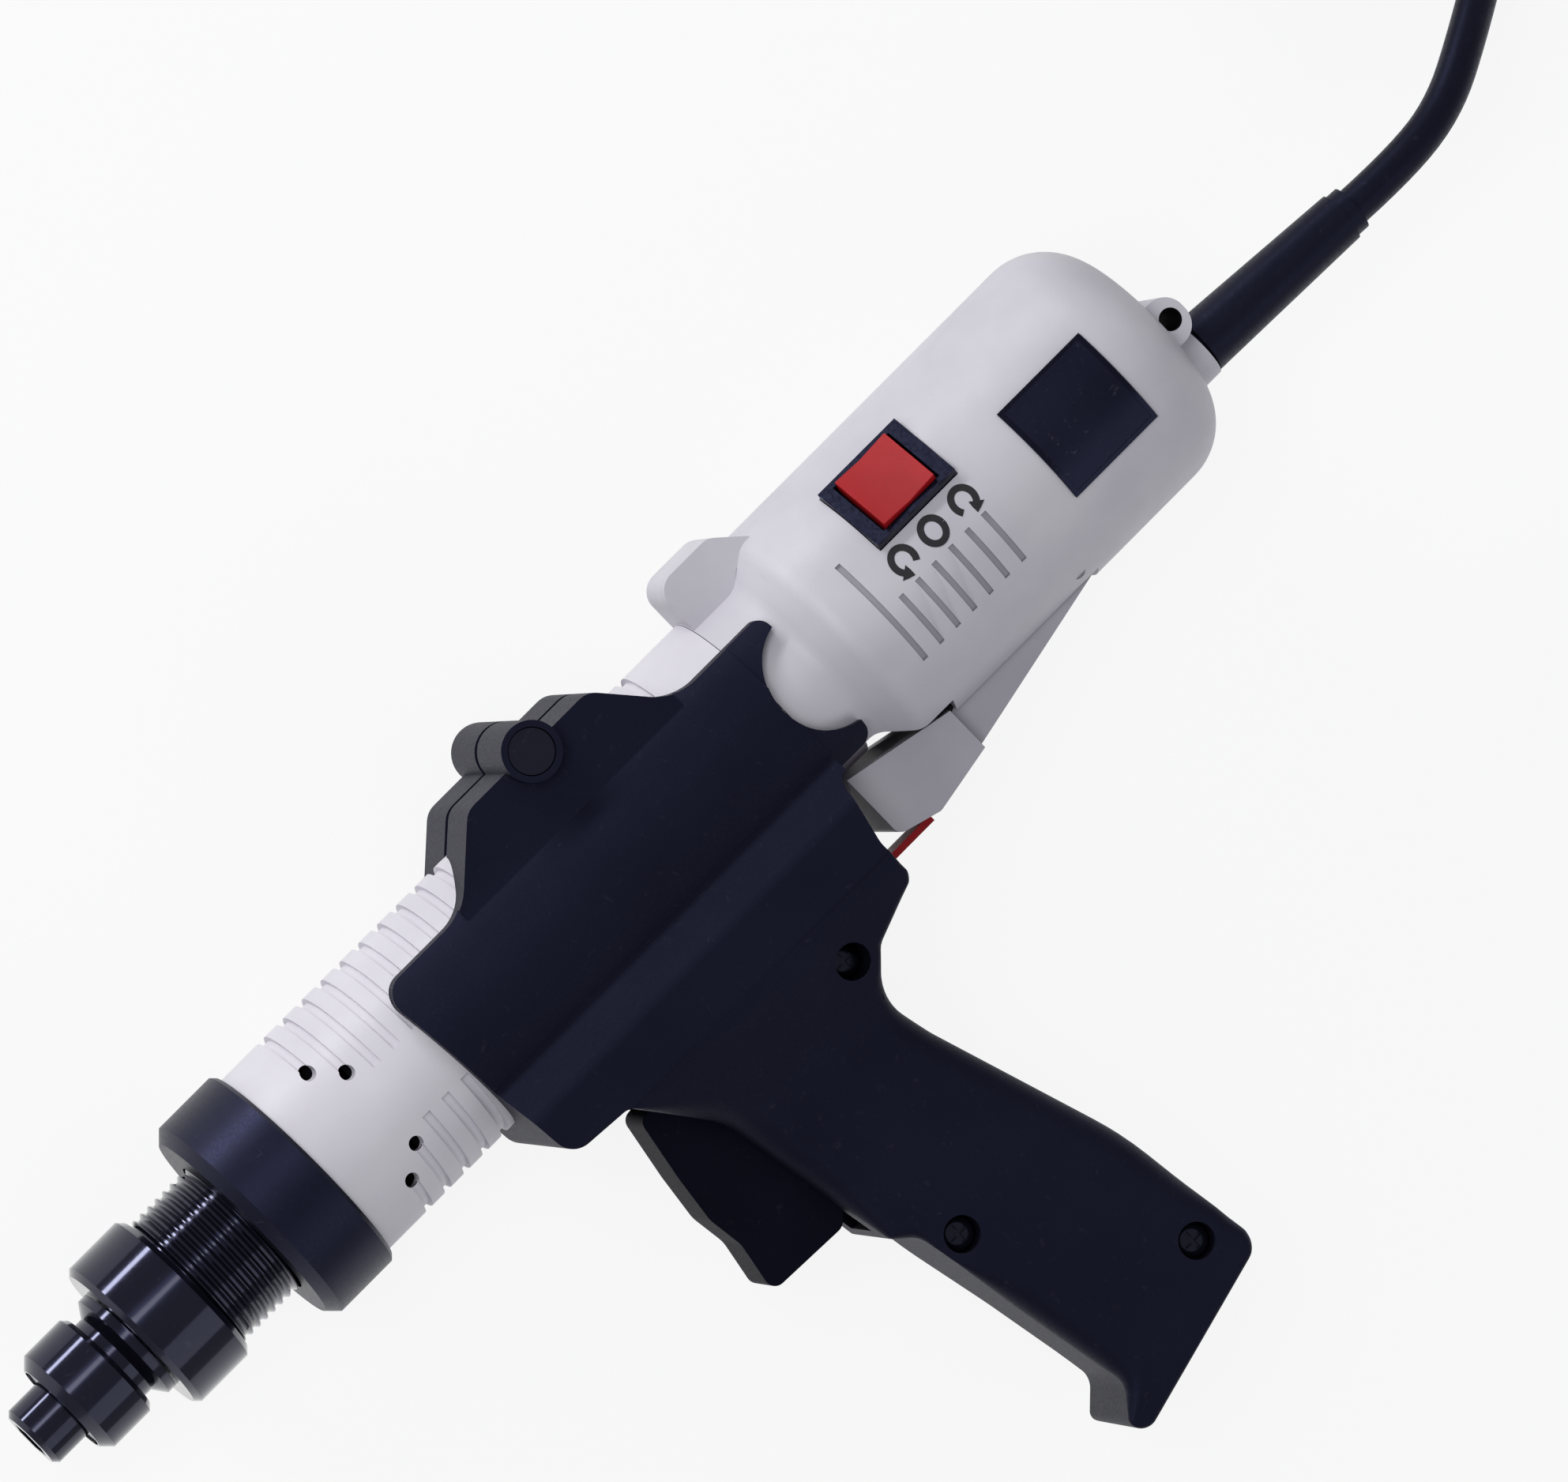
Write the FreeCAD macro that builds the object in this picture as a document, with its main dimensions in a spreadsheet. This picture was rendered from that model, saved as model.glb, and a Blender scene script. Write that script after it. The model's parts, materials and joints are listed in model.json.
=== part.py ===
"""Corded electric screwdriver in a clamp-on pistol grip, lying on its side with its cord put away.

The tool's own axis runs along +X from the bit socket to the cord, +Y points away from the grip and +Z is
the side that faces up. Every piece is drawn in the tool's frame, whose zero is the mouth of the bit
socket, and one common shift stands the tool on its resting plane.
"""

import FreeCAD, Part
import math
import os

import Sketcher

Vector = FreeCAD.Vector

# Driving dimensions in millimetres, in degrees for names that end in angle, and plain counts and shares.
SIZES = {
    # bit holder and spindle
    "stub_radius": 6.0, "stub_reach": 7.3, "stub_chamfer": 0.9, "neck_radius": 8.2, "neck_length": 1.8,
    "cone_radius": 10.6, "cone_length": 3.4, "hex_across": 6.4, "hex_depth": 19.0, "shaft_radius": 5.0,
    "tail_radius": 3.0, "ball_radius": 1.6, "ball_inset": 1.4,
    # bit collar
    "collar_length": 10.9, "collar_radius": 10.6, "collar_chamfer": 1.8, "collar_lip": 3.2,
    "collar_chamber_radius": 8.4, "clip_width": 0.9, "clip_radius": 7.9, "clip_inset": 0.4,
    "collar_wire": 0.7, "collar_spring_radius": 7.1, "collar_spring_turns": 3,
    # torque nut, clutch spring and threaded nose
    "nut_length": 12.6, "nut_radius": 15.5, "nut_chamfer": 1.0, "nut_wall": 3.0, "nut_hole_radius": 8.6,
    "nose_radius": 13.6, "nose_bore": 12.4, "nose_reach": 17.0, "nose_inset": 3.6,
    "nose_flange_radius": 17.2, "nose_flange_width": 3.8, "nose_spigot": 3.0,
    "seat_width": 1.4, "seat_radius": 12.1, "clutch_wire": 1.5, "clutch_spring_radius": 9.6,
    "clutch_spring_turns": 6, "plate_width": 4.0, "plate_radius": 11.5,
    "clutch_ball_radius": 1.25, "clutch_ball_ring": 8.5, "clutch_ball_count": 6,
    # union ring
    "union_length": 14.3, "union_radius": 21.4, "union_chamfer": 2.0, "union_edge": 0.7, "union_wall": 3.4,
    # gear stage
    "gear_module": 0.6, "sun_teeth": 12, "planet_teeth": 18, "planet_count": 3, "gear_width": 8.0,
    "gear_backlash": 0.16, "pressure_angle": 20.0, "gear_gap": 0.5,
    "carrier_disc": 4.6, "carrier_radius": 12.0, "journal_radius": 9.0, "journal_length": 5.7,
    "carrier_rear_disc": 2.0, "planet_pin_radius": 1.6,
    # motor
    "can_length": 62.0, "can_radius": 16.3, "can_wall": 1.4, "can_front_wall": 3.0, "motor_gap": 1.0,
    "rotor_shaft_radius": 2.5, "armature_length": 34.0, "armature_radius": 12.0, "armature_inset": 13.0,
    "armature_slots": 10, "armature_slot_width": 2.2, "armature_slot_depth": 5.0,
    "commutator_length": 8.0, "commutator_radius": 5.0, "commutator_gap": 4.0,
    "magnet_thick": 2.2, "magnet_angle": 130.0, "motor_bearing_radius": 6.5, "motor_bearing_width": 4.0,
    "end_cap_length": 6.0, "brush_length": 6.0, "brush_width": 4.0, "brush_reach": 6.0,
    # front tube
    "tube_radius": 19.7, "tube_length": 108.0, "tube_bore": 16.5, "tube_spigot": 6.9,
    "tube_spigot_radius": 17.9, "tube_tail": 8.0, "tube_tail_radius": 17.6,
    "groove_start": 9.0, "groove_pitch": 4.45, "groove_width": 1.7, "groove_depth": 0.9,
    "groove_count": 20, "panel_angle_first": 38.0, "panel_angle_second": 26.0, "panel_angle": 17.0,
    "vent_radius": 1.3, "vent_rise_first": 12.4, "vent_rise_second": 8.2,
    # rear casing
    "casing_collar": 9.5, "casing_radius": 24.0, "casing_shoulder": 6.0, "casing_length": 92.0,
    "casing_wall": 2.5, "shoulder_round": 5.0, "dome_round": 12.0, "casing_gap": 0.15,
    "top_lug_length": 17.8, "top_lug_flat": 12.2, "top_lug_rise": 27.5, "top_lug_half": 8.0,
    "top_lug_round": 3.6, "top_lug_foot": 17.9, "lever_room_half": 13.0, "arm_room_half": 8.5,
    "lever_room_top": 12.0, "standoff_radius": 3.0, "standoff_inset": 6.0,
    "boss_drop": 9.2, "boss_radius": 5.7, "boss_reach": 4.0, "boss_depth": 6.0,
    "hanger_reach": 5.2, "hanger_drop": 1.2, "hanger_half_height": 4.4, "hanger_half_width": 11.0,
    "hanger_hole_radius": 2.0, "hanger_hole_inset": 2.05, "hanger_round": 4.0,
    "louvre_start": 22.4, "louvre_pitch": 3.9, "louvre_count": 7, "louvre_width": 1.1,
    "louvre_run": 11.2, "louvre_angle": -13.8, "louvre_long_angle": 12.6, "louvre_depth": 1.3,
    "screw_radius": 1.4, "screw_head_radius": 2.7, "screw_head": 2.4, "screw_boss_radius": 3.6,
    "screw_depth": 9.0, "screw_seat": 12.5, "screw_boss_length": 14.0, "casing_screw_rise": 15.5,
    "casing_screw_inset": 14.6,
    # reversing switch
    "switch_station": 38.9, "switch_angle": 36.0, "bezel_length": 18.2, "bezel_width": 14.8,
    "bezel_height": 2.2, "bezel_seat": 22.4, "switch_body_length": 16.2, "switch_body_width": 13.6,
    "switch_body_depth": 11.0, "rocker_length": 11.8, "rocker_width": 12.2, "rocker_rise": 1.3,
    "rocker_depth": 3.0, "rocker_room": 0.7, "rocker_dip": 0.6, "rocker_well": 4.4,
    "rocker_stud_radius": 0.8, "rocker_stud": 0.6, "rocker_pivot_depth": 1.2,
    # bare side plate
    "plate_size": 19.4, "plate_thick": 0.5, "plate_station": 69.4,
    # start lever and start switch
    "lever_front": 0.6, "lever_pad_length": 20.6, "lever_pad_half": 12.4, "lever_arm_half": 8.0,
    "lever_cheek_front": 17.2, "lever_cheek_rear": 21.2, "lever_nose_drop": 29.8, "lever_low_drop": 32.0,
    "lever_low_reach": 7.9, "lever_rear_drop": 29.7, "lever_hollow_radius": 20.8, "lever_room": 0.6,
    "lever_pivot_reach": 53.0, "lever_pivot_drop": 19.6, "lever_tail": 3.0, "lever_tail_top": 17.0,
    "lever_tail_drop": 22.4, "lever_arm_top": 17.8, "lever_arm_run": 12.0, "lever_arm_front": 22.5,
    "lever_round": 1.8, "lever_notch": 1.5,
    "lever_pin_radius": 1.5, "lever_pin_half": 12.2,
    "start_switch_length": 16.0, "start_switch_height": 8.0, "start_switch_half": 5.0,
    "start_switch_station": 25.0, "start_switch_rise": 1.6, "plunger_length": 2.6, "plunger_half": 1.4,
    "plunger_reach": 1.3, "plunger_room": 3.2, "fit_gap": 0.15,
    # circuit board
    "board_length": 58.0, "board_half_height": 11.5, "board_thick": 1.6, "board_depth": 8.0,
    "board_station": 20.0, "capacitor_radius": 4.0, "capacitor_height": 9.0,
    # strain relief
    "boot_flange_radius": 6.6, "boot_flange": 2.8, "boot_slack": 0.6, "boot_neck_radius": 4.2,
    "boot_length": 35.7,
    "boot_radius": 5.4, "boot_end_radius": 4.6, "boot_tip": 2.4, "boot_tip_radius": 4.2, "boot_angle": -3.0,
    # pistol grip
    "saddle_lap": 8.4, "saddle_wall": 3.1, "saddle_length": 89.4, "rest_half_width": 24.0,
    "step_inset": 8.0, "step_depth": 0.7,
    "saddle_fit": 0.08, "ledge_top": 10.0, "ledge_inner": 19.0, "ledge_drop": 19.0, "block_drop": 30.0,
    "waist_drop": 48.0, "waist_half": 16.5, "butt_half": 15.6, "butt_drop": 130.0,
    "side_soft_round": 22.0, "block_soft_round": 10.0, "ledge_round": 4.0,
    "saddle_top": 13.4, "lug_reach": 5.2, "lug_half": 19.5, "clamp_boss_radius": 5.2, "clamp_gap": 1.2,
    "clamp_bolt_radius": 2.4, "clamp_head_radius": 3.9, "clamp_head": 4.0,
    "clamp_inset": 0.4, "scallop_radius": 10.9, "scallop_inset": 8.9,
    "grip_screw_radius": 1.5, "grip_screw_head_radius": 3.0, "grip_screw_head": 2.4,
    "grip_screw_seat": 10.0, "grip_screw_depth": 9.0,
    # trigger train
    "trigger_half": 8.0, "trigger_room": 0.6,
    "trigger_pin_radius": 2.0, "trigger_pin_half": 12.5,
    "link_half_height": 1.0, "link_half": 2.5, "link_gap": 0.4, "link_room": 2.1,
    "crank_arm": 4.0, "crank_half": 3.6, "crank_room": 5.0, "crank_pivot_inset": 2.4, "crank_clear": 0.6,
    "crank_swing": 2.2,
    "crank_pivot_drop": 32.4, "crank_pin_radius": 1.5, "crank_pin_half": 9.0, "crank_hub": 4.0,
    "tongue_half": 3.4, "tongue_reach": 7.3, "tongue_tip_drop": 32.4, "tongue_thick": 1.2,
    "trigger_wire": 0.7, "trigger_spring_radius": 3.0, "trigger_spring_turns": 6,
    # cord, coil, tie and plug
    "cord_radius": 3.4, "lead_run": 11.7, "coil_inner": 24.0, "coil_pitch": 8.0, "coil_layer": 7.6,
    "coil_turns": 6.16,
    "coil_heading_angle": 32.0, "coil_soft_angle": 30.0, "coil_climb_angle": 90.0,
    "tie_thick": 0.8, "tie_width": 9.0, "tie_gap": 0.7, "tie_angle": 150.0,
    "plug_boot_length": 20.0, "plug_boot_radius": 5.6, "plug_boot_tip": 4.6, "plug_body_length": 18.0,
    "plug_body_radius": 8.2, "plug_ring_length": 7.0, "plug_ring_radius": 7.4, "plug_ring_bore": 6.4,
    "plug_pin_radius": 0.6, "plug_pin_reach": 5.6, "plug_pin_ring": 3.6, "plug_pin_count": 5,
    # common clearances and the overrun of every cut
    "running_fit": 0.05, "seat_gap": 0.1, "small_gap": 0.2, "overrun": 4.0, "half_room": 40.0,
}

# Outlines of the grip as shares: x of the saddle's length from its front, drop and rounding of the butt's
# drop.
# the grip's edge from the saddle's rear corner round the handle to its front corner
GRIP_EDGE_SHARES = (
    (1.000, 0.110, 0.019), (0.890, 0.110, 0.023), (0.858, 0.208, 0.046), (0.862, 0.268, 0.019),
    (0.734, 0.304, 0.046), (0.670, 0.358, 0.077), (0.697, 0.438, 0.192), (0.824, 0.708, 0.462),
    (0.866, 0.928, 0.031), (0.466, 1.000, 0.022), (0.447, 0.975, 0.014), (0.500, 0.935, 0.031),
    (0.411, 0.612, 0.031), (0.368, 0.585, 0.012), (0.303, 0.331, 0.092), (0.180, 0.218, 0.023),
    (0.041, 0.211, 0.031),
)
# the room round the trigger and its spring
TRIGGER_ROOM_SHARES = (
    (0.102, 0.227, 0.000), (0.421, 0.227, 0.000), (0.477, 0.346, 0.000), (0.477, 0.438, 0.000),
    (0.560, 0.438, 0.000), (0.560, 0.515, 0.000), (0.477, 0.515, 0.000), (0.477, 0.562, 0.000),
    (0.102, 0.585, 0.000),
)
# the hollow of the handle
HANDLE_ROOM_SHARES = (
    (0.549, 0.692, 0.000), (0.717, 0.692, 0.000), (0.717, 0.831, 0.000), (0.583, 0.877, 0.000),
)
# the trigger
TRIGGER_SHARES = (
    (0.197, 0.257, 0.015), (0.174, 0.346, 0.000), (0.162, 0.412, 0.046), (0.172, 0.462, 0.046),
    (0.153, 0.535, 0.015), (0.331, 0.540, 0.018), (0.381, 0.508, 0.018), (0.404, 0.354, 0.000),
    (0.404, 0.277, 0.018), (0.303, 0.252, 0.023),
)
# the saddle's upper edge: x of the saddle's length, where the lug starts and ends its two slopes
LUG_SHARES = (0.214, 0.353, 0.667, 0.779)
# the trigger's pivot, the link's rear end at its middle height, and the two ends of the trigger's spring
TRIGGER_PIVOT_SHARES = (0.34116, 0.29615)
LINK_REAR_SHARES = (0.53132, 0.34308)
SPRING_END_SHARES = (0.3915, 0.5582)
SPRING_DROP_SHARE = 0.4769
# where the handle leaves the block, as a share of the butt's drop
WAIST_SHARE = 0.36923
# the grip's three screws
GRIP_SCREW_SHARES = ((0.672, 0.293, 0.0), (0.779, 0.869, 0.0), (0.471, 0.646, 0.0))

# The cord's way from the boot to the coil, and from the coil to the plug about the coil's centre.
LEAD_POINTS = ((176.0, 39.5, 21.2), (188.2, 44.8, 17.0), (203.0, 51.8, 10.0))
COIL_ENTRY = (234.25, 70.4, 5.0)
TAIL_POINTS = ((43.6, 39.9, 11.6), (26.0, 58.0, 10.0), (2.9, 65.2, 8.5), (-20.0, 63.0, 8.5))

doc = FreeCAD.newDocument("Screwdriver")
sheet = doc.addObject("Spreadsheet::Sheet", "Sizes")
for row, (alias, value) in enumerate(SIZES.items(), start=1):
    sheet.set(f"A{row}", alias)
    sheet.set(f"B{row}", str(value))
    sheet.setAlias(f"B{row}", alias)
doc.recompute()


class Size:
    """A length as an expression on the sheet, which sums and products carry along."""

    def __init__(self, text):
        self.text = text

    def __add__(self, other):
        return Size(f"({self.text} + {text_of(other)})")

    def __radd__(self, other):
        return Size(f"({text_of(other)} + {self.text})")

    def __sub__(self, other):
        return Size(f"({self.text} - {text_of(other)})")

    def __rsub__(self, other):
        return Size(f"({text_of(other)} - {self.text})")

    def __mul__(self, other):
        return Size(f"({self.text} * {text_of(other)})")

    __rmul__ = __mul__

    def __truediv__(self, other):
        return Size(f"({self.text} / {text_of(other)})")

    def __neg__(self):
        return Size(f"(0 - {self.text})")

    def __float__(self):
        return float(sheet.evalExpression(self.text))


class Named:
    """Gives every alias of the sheet as a size."""

    def __getattr__(self, alias):
        if alias not in SIZES:
            raise AttributeError(alias)
        return Size(f"Sizes.{alias}")


def text_of(value):
    return value.text if isinstance(value, Size) else repr(value)


size = Named()
ZERO = Size("0")

# Stations along the tool's axis, from the mouth of the bit socket.
COLLAR_REAR = size.stub_reach + size.collar_length
CONE_FRONT = COLLAR_REAR + size.neck_length
CONE_REAR = CONE_FRONT + size.cone_length
NUT_FRONT = CONE_REAR + size.small_gap
NUT_REAR = NUT_FRONT + size.nut_length
SEAT_FRONT = NUT_FRONT + size.nut_wall + size.seat_gap
SEAT_REAR = SEAT_FRONT + size.seat_width
NOSE_FRONT = NUT_REAR - size.nose_inset
UNION_FRONT = NOSE_FRONT + size.nose_reach
UNION_SEAT = UNION_FRONT + size.union_wall
TUBE_FRONT = UNION_FRONT + size.union_length
NOSE_FLANGE_REAR = UNION_SEAT + size.seat_gap + size.nose_flange_width
SPIGOT_FRONT = TUBE_FRONT - size.tube_spigot
PLATE_FRONT = SPIGOT_FRONT - size.nose_flange_width - size.seat_gap - size.plate_width - size.seat_gap
PLATE_REAR = PLATE_FRONT + size.plate_width
CARRIER_FRONT = PLATE_REAR + 2 * size.clutch_ball_radius + size.seat_gap
JOURNAL_FRONT = CARRIER_FRONT + size.carrier_disc
JOURNAL_REAR = JOURNAL_FRONT + size.journal_length
CARRIER_REAR = JOURNAL_REAR + size.carrier_rear_disc
GEAR_FRONT = CARRIER_REAR + size.gear_gap
GEAR_REAR = GEAR_FRONT + size.gear_width
RING_FRONT = JOURNAL_REAR + size.gear_gap
RING_REAR = GEAR_REAR + 2 * size.gear_gap
CAN_FRONT = RING_REAR + size.motor_gap
CAN_REAR = CAN_FRONT + size.can_length
CAP_REAR = CAN_REAR + size.end_cap_length
ARMATURE_FRONT = CAN_FRONT + size.armature_inset
ARMATURE_REAR = ARMATURE_FRONT + size.armature_length
COMMUTATOR_FRONT = ARMATURE_REAR + size.commutator_gap
COMMUTATOR_REAR = COMMUTATOR_FRONT + size.commutator_length
TUBE_REAR = TUBE_FRONT + size.tube_length
CASING_FRONT = TUBE_REAR + size.casing_gap
COLLAR_END = CASING_FRONT + size.casing_collar
CASING_REAR = TUBE_REAR + size.casing_length
BOSS_REAR = CASING_REAR + size.boss_reach
BOOT_REAR = BOSS_REAR + size.boot_length
LEVER_FRONT = TUBE_REAR + size.lever_front
LEVER_PAD_REAR = LEVER_FRONT + size.lever_pad_length
LEVER_PIVOT = TUBE_REAR + size.lever_pivot_reach
SADDLE_REAR = TUBE_REAR + size.saddle_lap
SADDLE_FRONT = SADDLE_REAR - size.saddle_length
SADDLE_RADIUS = size.tube_radius + size.saddle_wall
LUG_RISE = size.tube_radius + size.lug_reach


def grip_reach(share):
    """A station along the grip from its share of the saddle's length."""
    return SADDLE_FRONT + size.saddle_length * share


def grip_drop(share):
    """A drop below the tool's axis; the block above the waist keeps its size when the handle grows."""
    if share <= WAIST_SHARE:
        return size.waist_drop * (share / WAIST_SHARE)
    return size.waist_drop + (size.butt_drop - size.waist_drop) * ((share - WAIST_SHARE) / (1 - WAIST_SHARE))


CLAMP_STATION = grip_reach((LUG_SHARES[1] + LUG_SHARES[2]) / 2)
TRIGGER_PIVOT = grip_reach(TRIGGER_PIVOT_SHARES[0])
TRIGGER_PIVOT_DROP = grip_drop(TRIGGER_PIVOT_SHARES[1])
TRIGGER_REAR = grip_reach(max(corner[0] for corner in TRIGGER_SHARES))
LINK_FRONT = TRIGGER_REAR + size.link_gap
LINK_REAR = grip_reach(LINK_REAR_SHARES[0])
LINK_DROP = grip_drop(LINK_REAR_SHARES[1])
CRANK_FRONT = LINK_REAR + size.link_gap
CRANK_PIVOT = CRANK_FRONT + size.crank_pivot_inset
SUN_RADIUS = size.gear_module * size.sun_teeth / 2
PLANET_RADIUS = size.gear_module * size.planet_teeth / 2
PLANET_RING = SUN_RADIUS + PLANET_RADIUS

# The common shift that puts the origin under the middle of the tool, on its resting plane.
SHIFT = (
    -(BOOT_REAR / 2),
    (size.butt_drop - LUG_RISE - size.clamp_boss_radius) / 2,
    size.rest_half_width,
)

nodes = []


def place(piece):
    """Gives a piece the common shift, bound to the sheet."""
    for letter, value in zip("xyz", SHIFT):
        piece.setExpression(f"Placement.Base.{letter}", value.text)


def shift_vector():
    return Vector(*[float(value) for value in SHIFT])


def new_body(label, moved=True):
    body = doc.addObject("PartDesign::Body", label)
    body.Label = label
    if moved:
        place(body)
    nodes.append(body)
    return body


def add_shape(label, shape, moved=True):
    """Adds a sub-part whose shape is worked out from the sheet's values."""
    piece = doc.addObject("Part::Feature", label)
    piece.Label = label
    piece.Shape = shape
    if moved:
        piece.Placement = FreeCAD.Placement(shift_vector(), FreeCAD.Rotation()).multiply(piece.Placement)
    nodes.append(piece)
    return piece


def corner_of(corner):
    """A corner's place and its rounding as plain numbers."""
    rounding = float(corner[2]) if len(corner) > 2 else 0.0
    return Vector(float(corner[0]), float(corner[1]), 0), rounding


def draw_loop(sketch, corners):
    """Draws a closed outline of lines, with arcs at the rounded corners, bound to the sheet."""
    count = len(corners)
    points = [corner_of(corner)[0] for corner in corners]
    roundings = [corner_of(corner)[1] for corner in corners]
    ahead = [(points[(i + 1) % count] - points[i]).normalize() for i in range(count)]
    trims = []
    turns = []
    for i in range(count):
        before, after = ahead[i - 1], ahead[i]
        turn = math.atan2(before.x * after.y - before.y * after.x, before.dot(after))
        turns.append(turn)
        trims.append(roundings[i] * math.tan(abs(turn) / 2))
    lines = []
    for i in range(count):
        start = points[i] + ahead[i] * trims[i]
        end = points[(i + 1) % count] - ahead[i] * trims[(i + 1) % count]
        lines.append(sketch.addGeometry(Part.LineSegment(start, end)))
    rules = []
    bound = []
    for i in range(count):
        before, after = lines[i - 1], lines[i]
        if roundings[i] == 0:
            rules.append(Sketcher.Constraint("Coincident", before, 2, after, 1))
            holder, spot = after, 1
        else:
            side = 1 if turns[i] > 0 else -1
            start = points[i] - ahead[i - 1] * trims[i]
            centre = start + Vector(-ahead[i - 1].y, ahead[i - 1].x, 0) * side * roundings[i]
            end = points[i] + ahead[i] * trims[i]
            first, last = (start, end) if side > 0 else (end, start)
            angles = [math.atan2(p.y - centre.y, p.x - centre.x) for p in (first, last)]
            circle = Part.Circle(centre, Vector(0, 0, 1), roundings[i])
            arc = sketch.addGeometry(Part.ArcOfCircle(circle, angles[0], angles[1]))
            near, far = (1, 2) if side > 0 else (2, 1)
            rules.append(Sketcher.Constraint("Tangent", before, 2, arc, near))
            rules.append(Sketcher.Constraint("Tangent", arc, far, after, 1))
            bound.append((len(rules), corners[i][2]))
            rules.append(Sketcher.Constraint("Radius", arc, roundings[i]))
            holder = sketch.addGeometry(Part.Point(points[i]), True)
            spot = 1
            rules.append(Sketcher.Constraint("PointOnObject", holder, 1, before))
            rules.append(Sketcher.Constraint("PointOnObject", holder, 1, after))
        for kind, value in (("DistanceX", corners[i][0]), ("DistanceY", corners[i][1])):
            bound.append((len(rules), value))
            rules.append(Sketcher.Constraint(kind, -1, 1, holder, spot, float(value)))
    first_rule = sketch.ConstraintCount
    sketch.addConstraint(rules)
    for index, value in bound:
        sketch.setExpression(f"Constraints[{first_rule + index}]", value.text)


def draw_circle(sketch, x, y, radius):
    circle = Part.Circle(Vector(float(x), float(y), 0), Vector(0, 0, 1), float(radius))
    ring = sketch.addGeometry(circle)
    first_rule = sketch.ConstraintCount
    rules = [
        Sketcher.Constraint("DistanceX", -1, 1, ring, 3, float(x)),
        Sketcher.Constraint("DistanceY", -1, 1, ring, 3, float(y)),
        Sketcher.Constraint("Radius", ring, float(radius)),
    ]
    sketch.addConstraint(rules)
    for offset, value in enumerate((x, y, radius)):
        sketch.setExpression(f"Constraints[{first_rule + offset}]", value.text)


def new_sketch(body, role="XY_Plane", offset=None):
    """A sketch on one of the body's own planes, lifted along the plane's normal by offset."""
    sketch = body.newObject("Sketcher::SketchObject", "outline")
    plane = [item for item in body.Origin.OriginFeatures if item.Role == role][0]
    sketch.AttachmentSupport = [(plane, "")]
    sketch.MapMode = "FlatFace"
    if offset is not None:
        sketch.setExpression("AttachmentOffset.Base.z", offset.text)
    return sketch


def outline_sketch(body, loops, role="XY_Plane", offset=None):
    sketch = new_sketch(body, role, offset)
    for corners in loops:
        draw_loop(sketch, corners)
    return sketch


def turn(body, corners, degrees=360, reversed_way=False, cut=False, both_ways=False, role="XY_Plane"):
    """Revolves an outline of station and radius about the tool's axis."""
    sketch = outline_sketch(body, [corners], role)
    kind = "PartDesign::Groove" if cut else "PartDesign::Revolution"
    feature = body.newObject(kind, "turned")
    feature.Profile = sketch
    feature.ReferenceAxis = (sketch, ["H_Axis"])
    if isinstance(degrees, Size):
        feature.Angle = float(degrees)
        feature.setExpression("Angle", degrees.text)
    else:
        feature.Angle = degrees
    feature.Reversed = reversed_way
    feature.Midplane = both_ways
    body.Tip = feature
    return feature


def extrude(body, loops, length, cut=False, both_ways=False, reversed_way=False, role="XY_Plane",
            offset=None):
    """Pads or pockets an outline by a length, from its plane or to both sides of it."""
    sketch = outline_sketch(body, loops, role, offset)
    return extrude_sketch(body, sketch, length, cut, both_ways, reversed_way)


def extrude_sketch(body, sketch, length, cut=False, both_ways=False, reversed_way=False):
    feature = body.newObject("PartDesign::Pocket" if cut else "PartDesign::Pad", "extruded")
    feature.Profile = sketch
    feature.setExpression("Length", length.text)
    feature.Midplane = both_ways
    feature.Reversed = reversed_way
    body.Tip = feature
    return feature


def bar(body, radius, length, base, axis, cut=False):
    """Adds or cuts a cylinder that starts at base and runs along X, Y or Z, the other way with a minus."""
    feature = body.newObject(f"PartDesign::{'Subtractive' if cut else 'Additive'}Cylinder", "bar")
    feature.setExpression("Radius", radius.text)
    feature.setExpression("Height", length.text)
    ways = {"X": (0, 90), "-X": (0, -90), "Y": (-90, 0), "-Y": (90, 0), "Z": (0, 0), "-Z": (180, 0)}
    about_x, about_y = ways[axis]
    turned = FreeCAD.Rotation(Vector(0, 1, 0), about_y) * FreeCAD.Rotation(Vector(1, 0, 0), about_x)
    feature.Placement = FreeCAD.Placement(Vector(0, 0, 0), turned)
    for letter, value in zip("xyz", base):
        feature.setExpression(f"Placement.Base.{letter}", value.text)
    body.Tip = feature
    return feature


def block(body, low, high, cut=False):
    """Adds or cuts a box between two corners."""
    feature = body.newObject(f"PartDesign::{'Subtractive' if cut else 'Additive'}Box", "block")
    for name, letter, first, last in zip(("Length", "Width", "Height"), "xyz", low, high):
        feature.setExpression(name, (last - first).text)
        feature.setExpression(f"Placement.Base.{letter}", first.text)
    body.Tip = feature
    return feature


def turned_piece(label, corners):
    body = new_body(label)
    turn(body, corners)
    return body


def ring_corners(front, rear, inner, outer):
    return [(front, inner), (front, outer), (rear, outer), (rear, inner)]


def disc_corners(front, rear, outer):
    return [(front, ZERO), (front, outer), (rear, outer), (rear, ZERO)]


def biarc(start, start_way, end, end_way):
    """Two arcs that join two points smoothly, leaving and arriving along the given ways."""
    step = end - start
    ways = start_way + end_way
    spread = 2 * (1 - start_way.dot(end_way))
    along = step.dot(ways)
    if spread < 1e-9:
        reach = step.dot(step) / (2 * along)
    else:
        reach = (-along + math.sqrt(along * along + spread * step.dot(step))) / spread
    first, last = start + start_way * reach, end - end_way * reach
    middle = (first + last) * 0.5
    return [arc_through(start, first, middle), arc_through(middle, last, end)]


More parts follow.
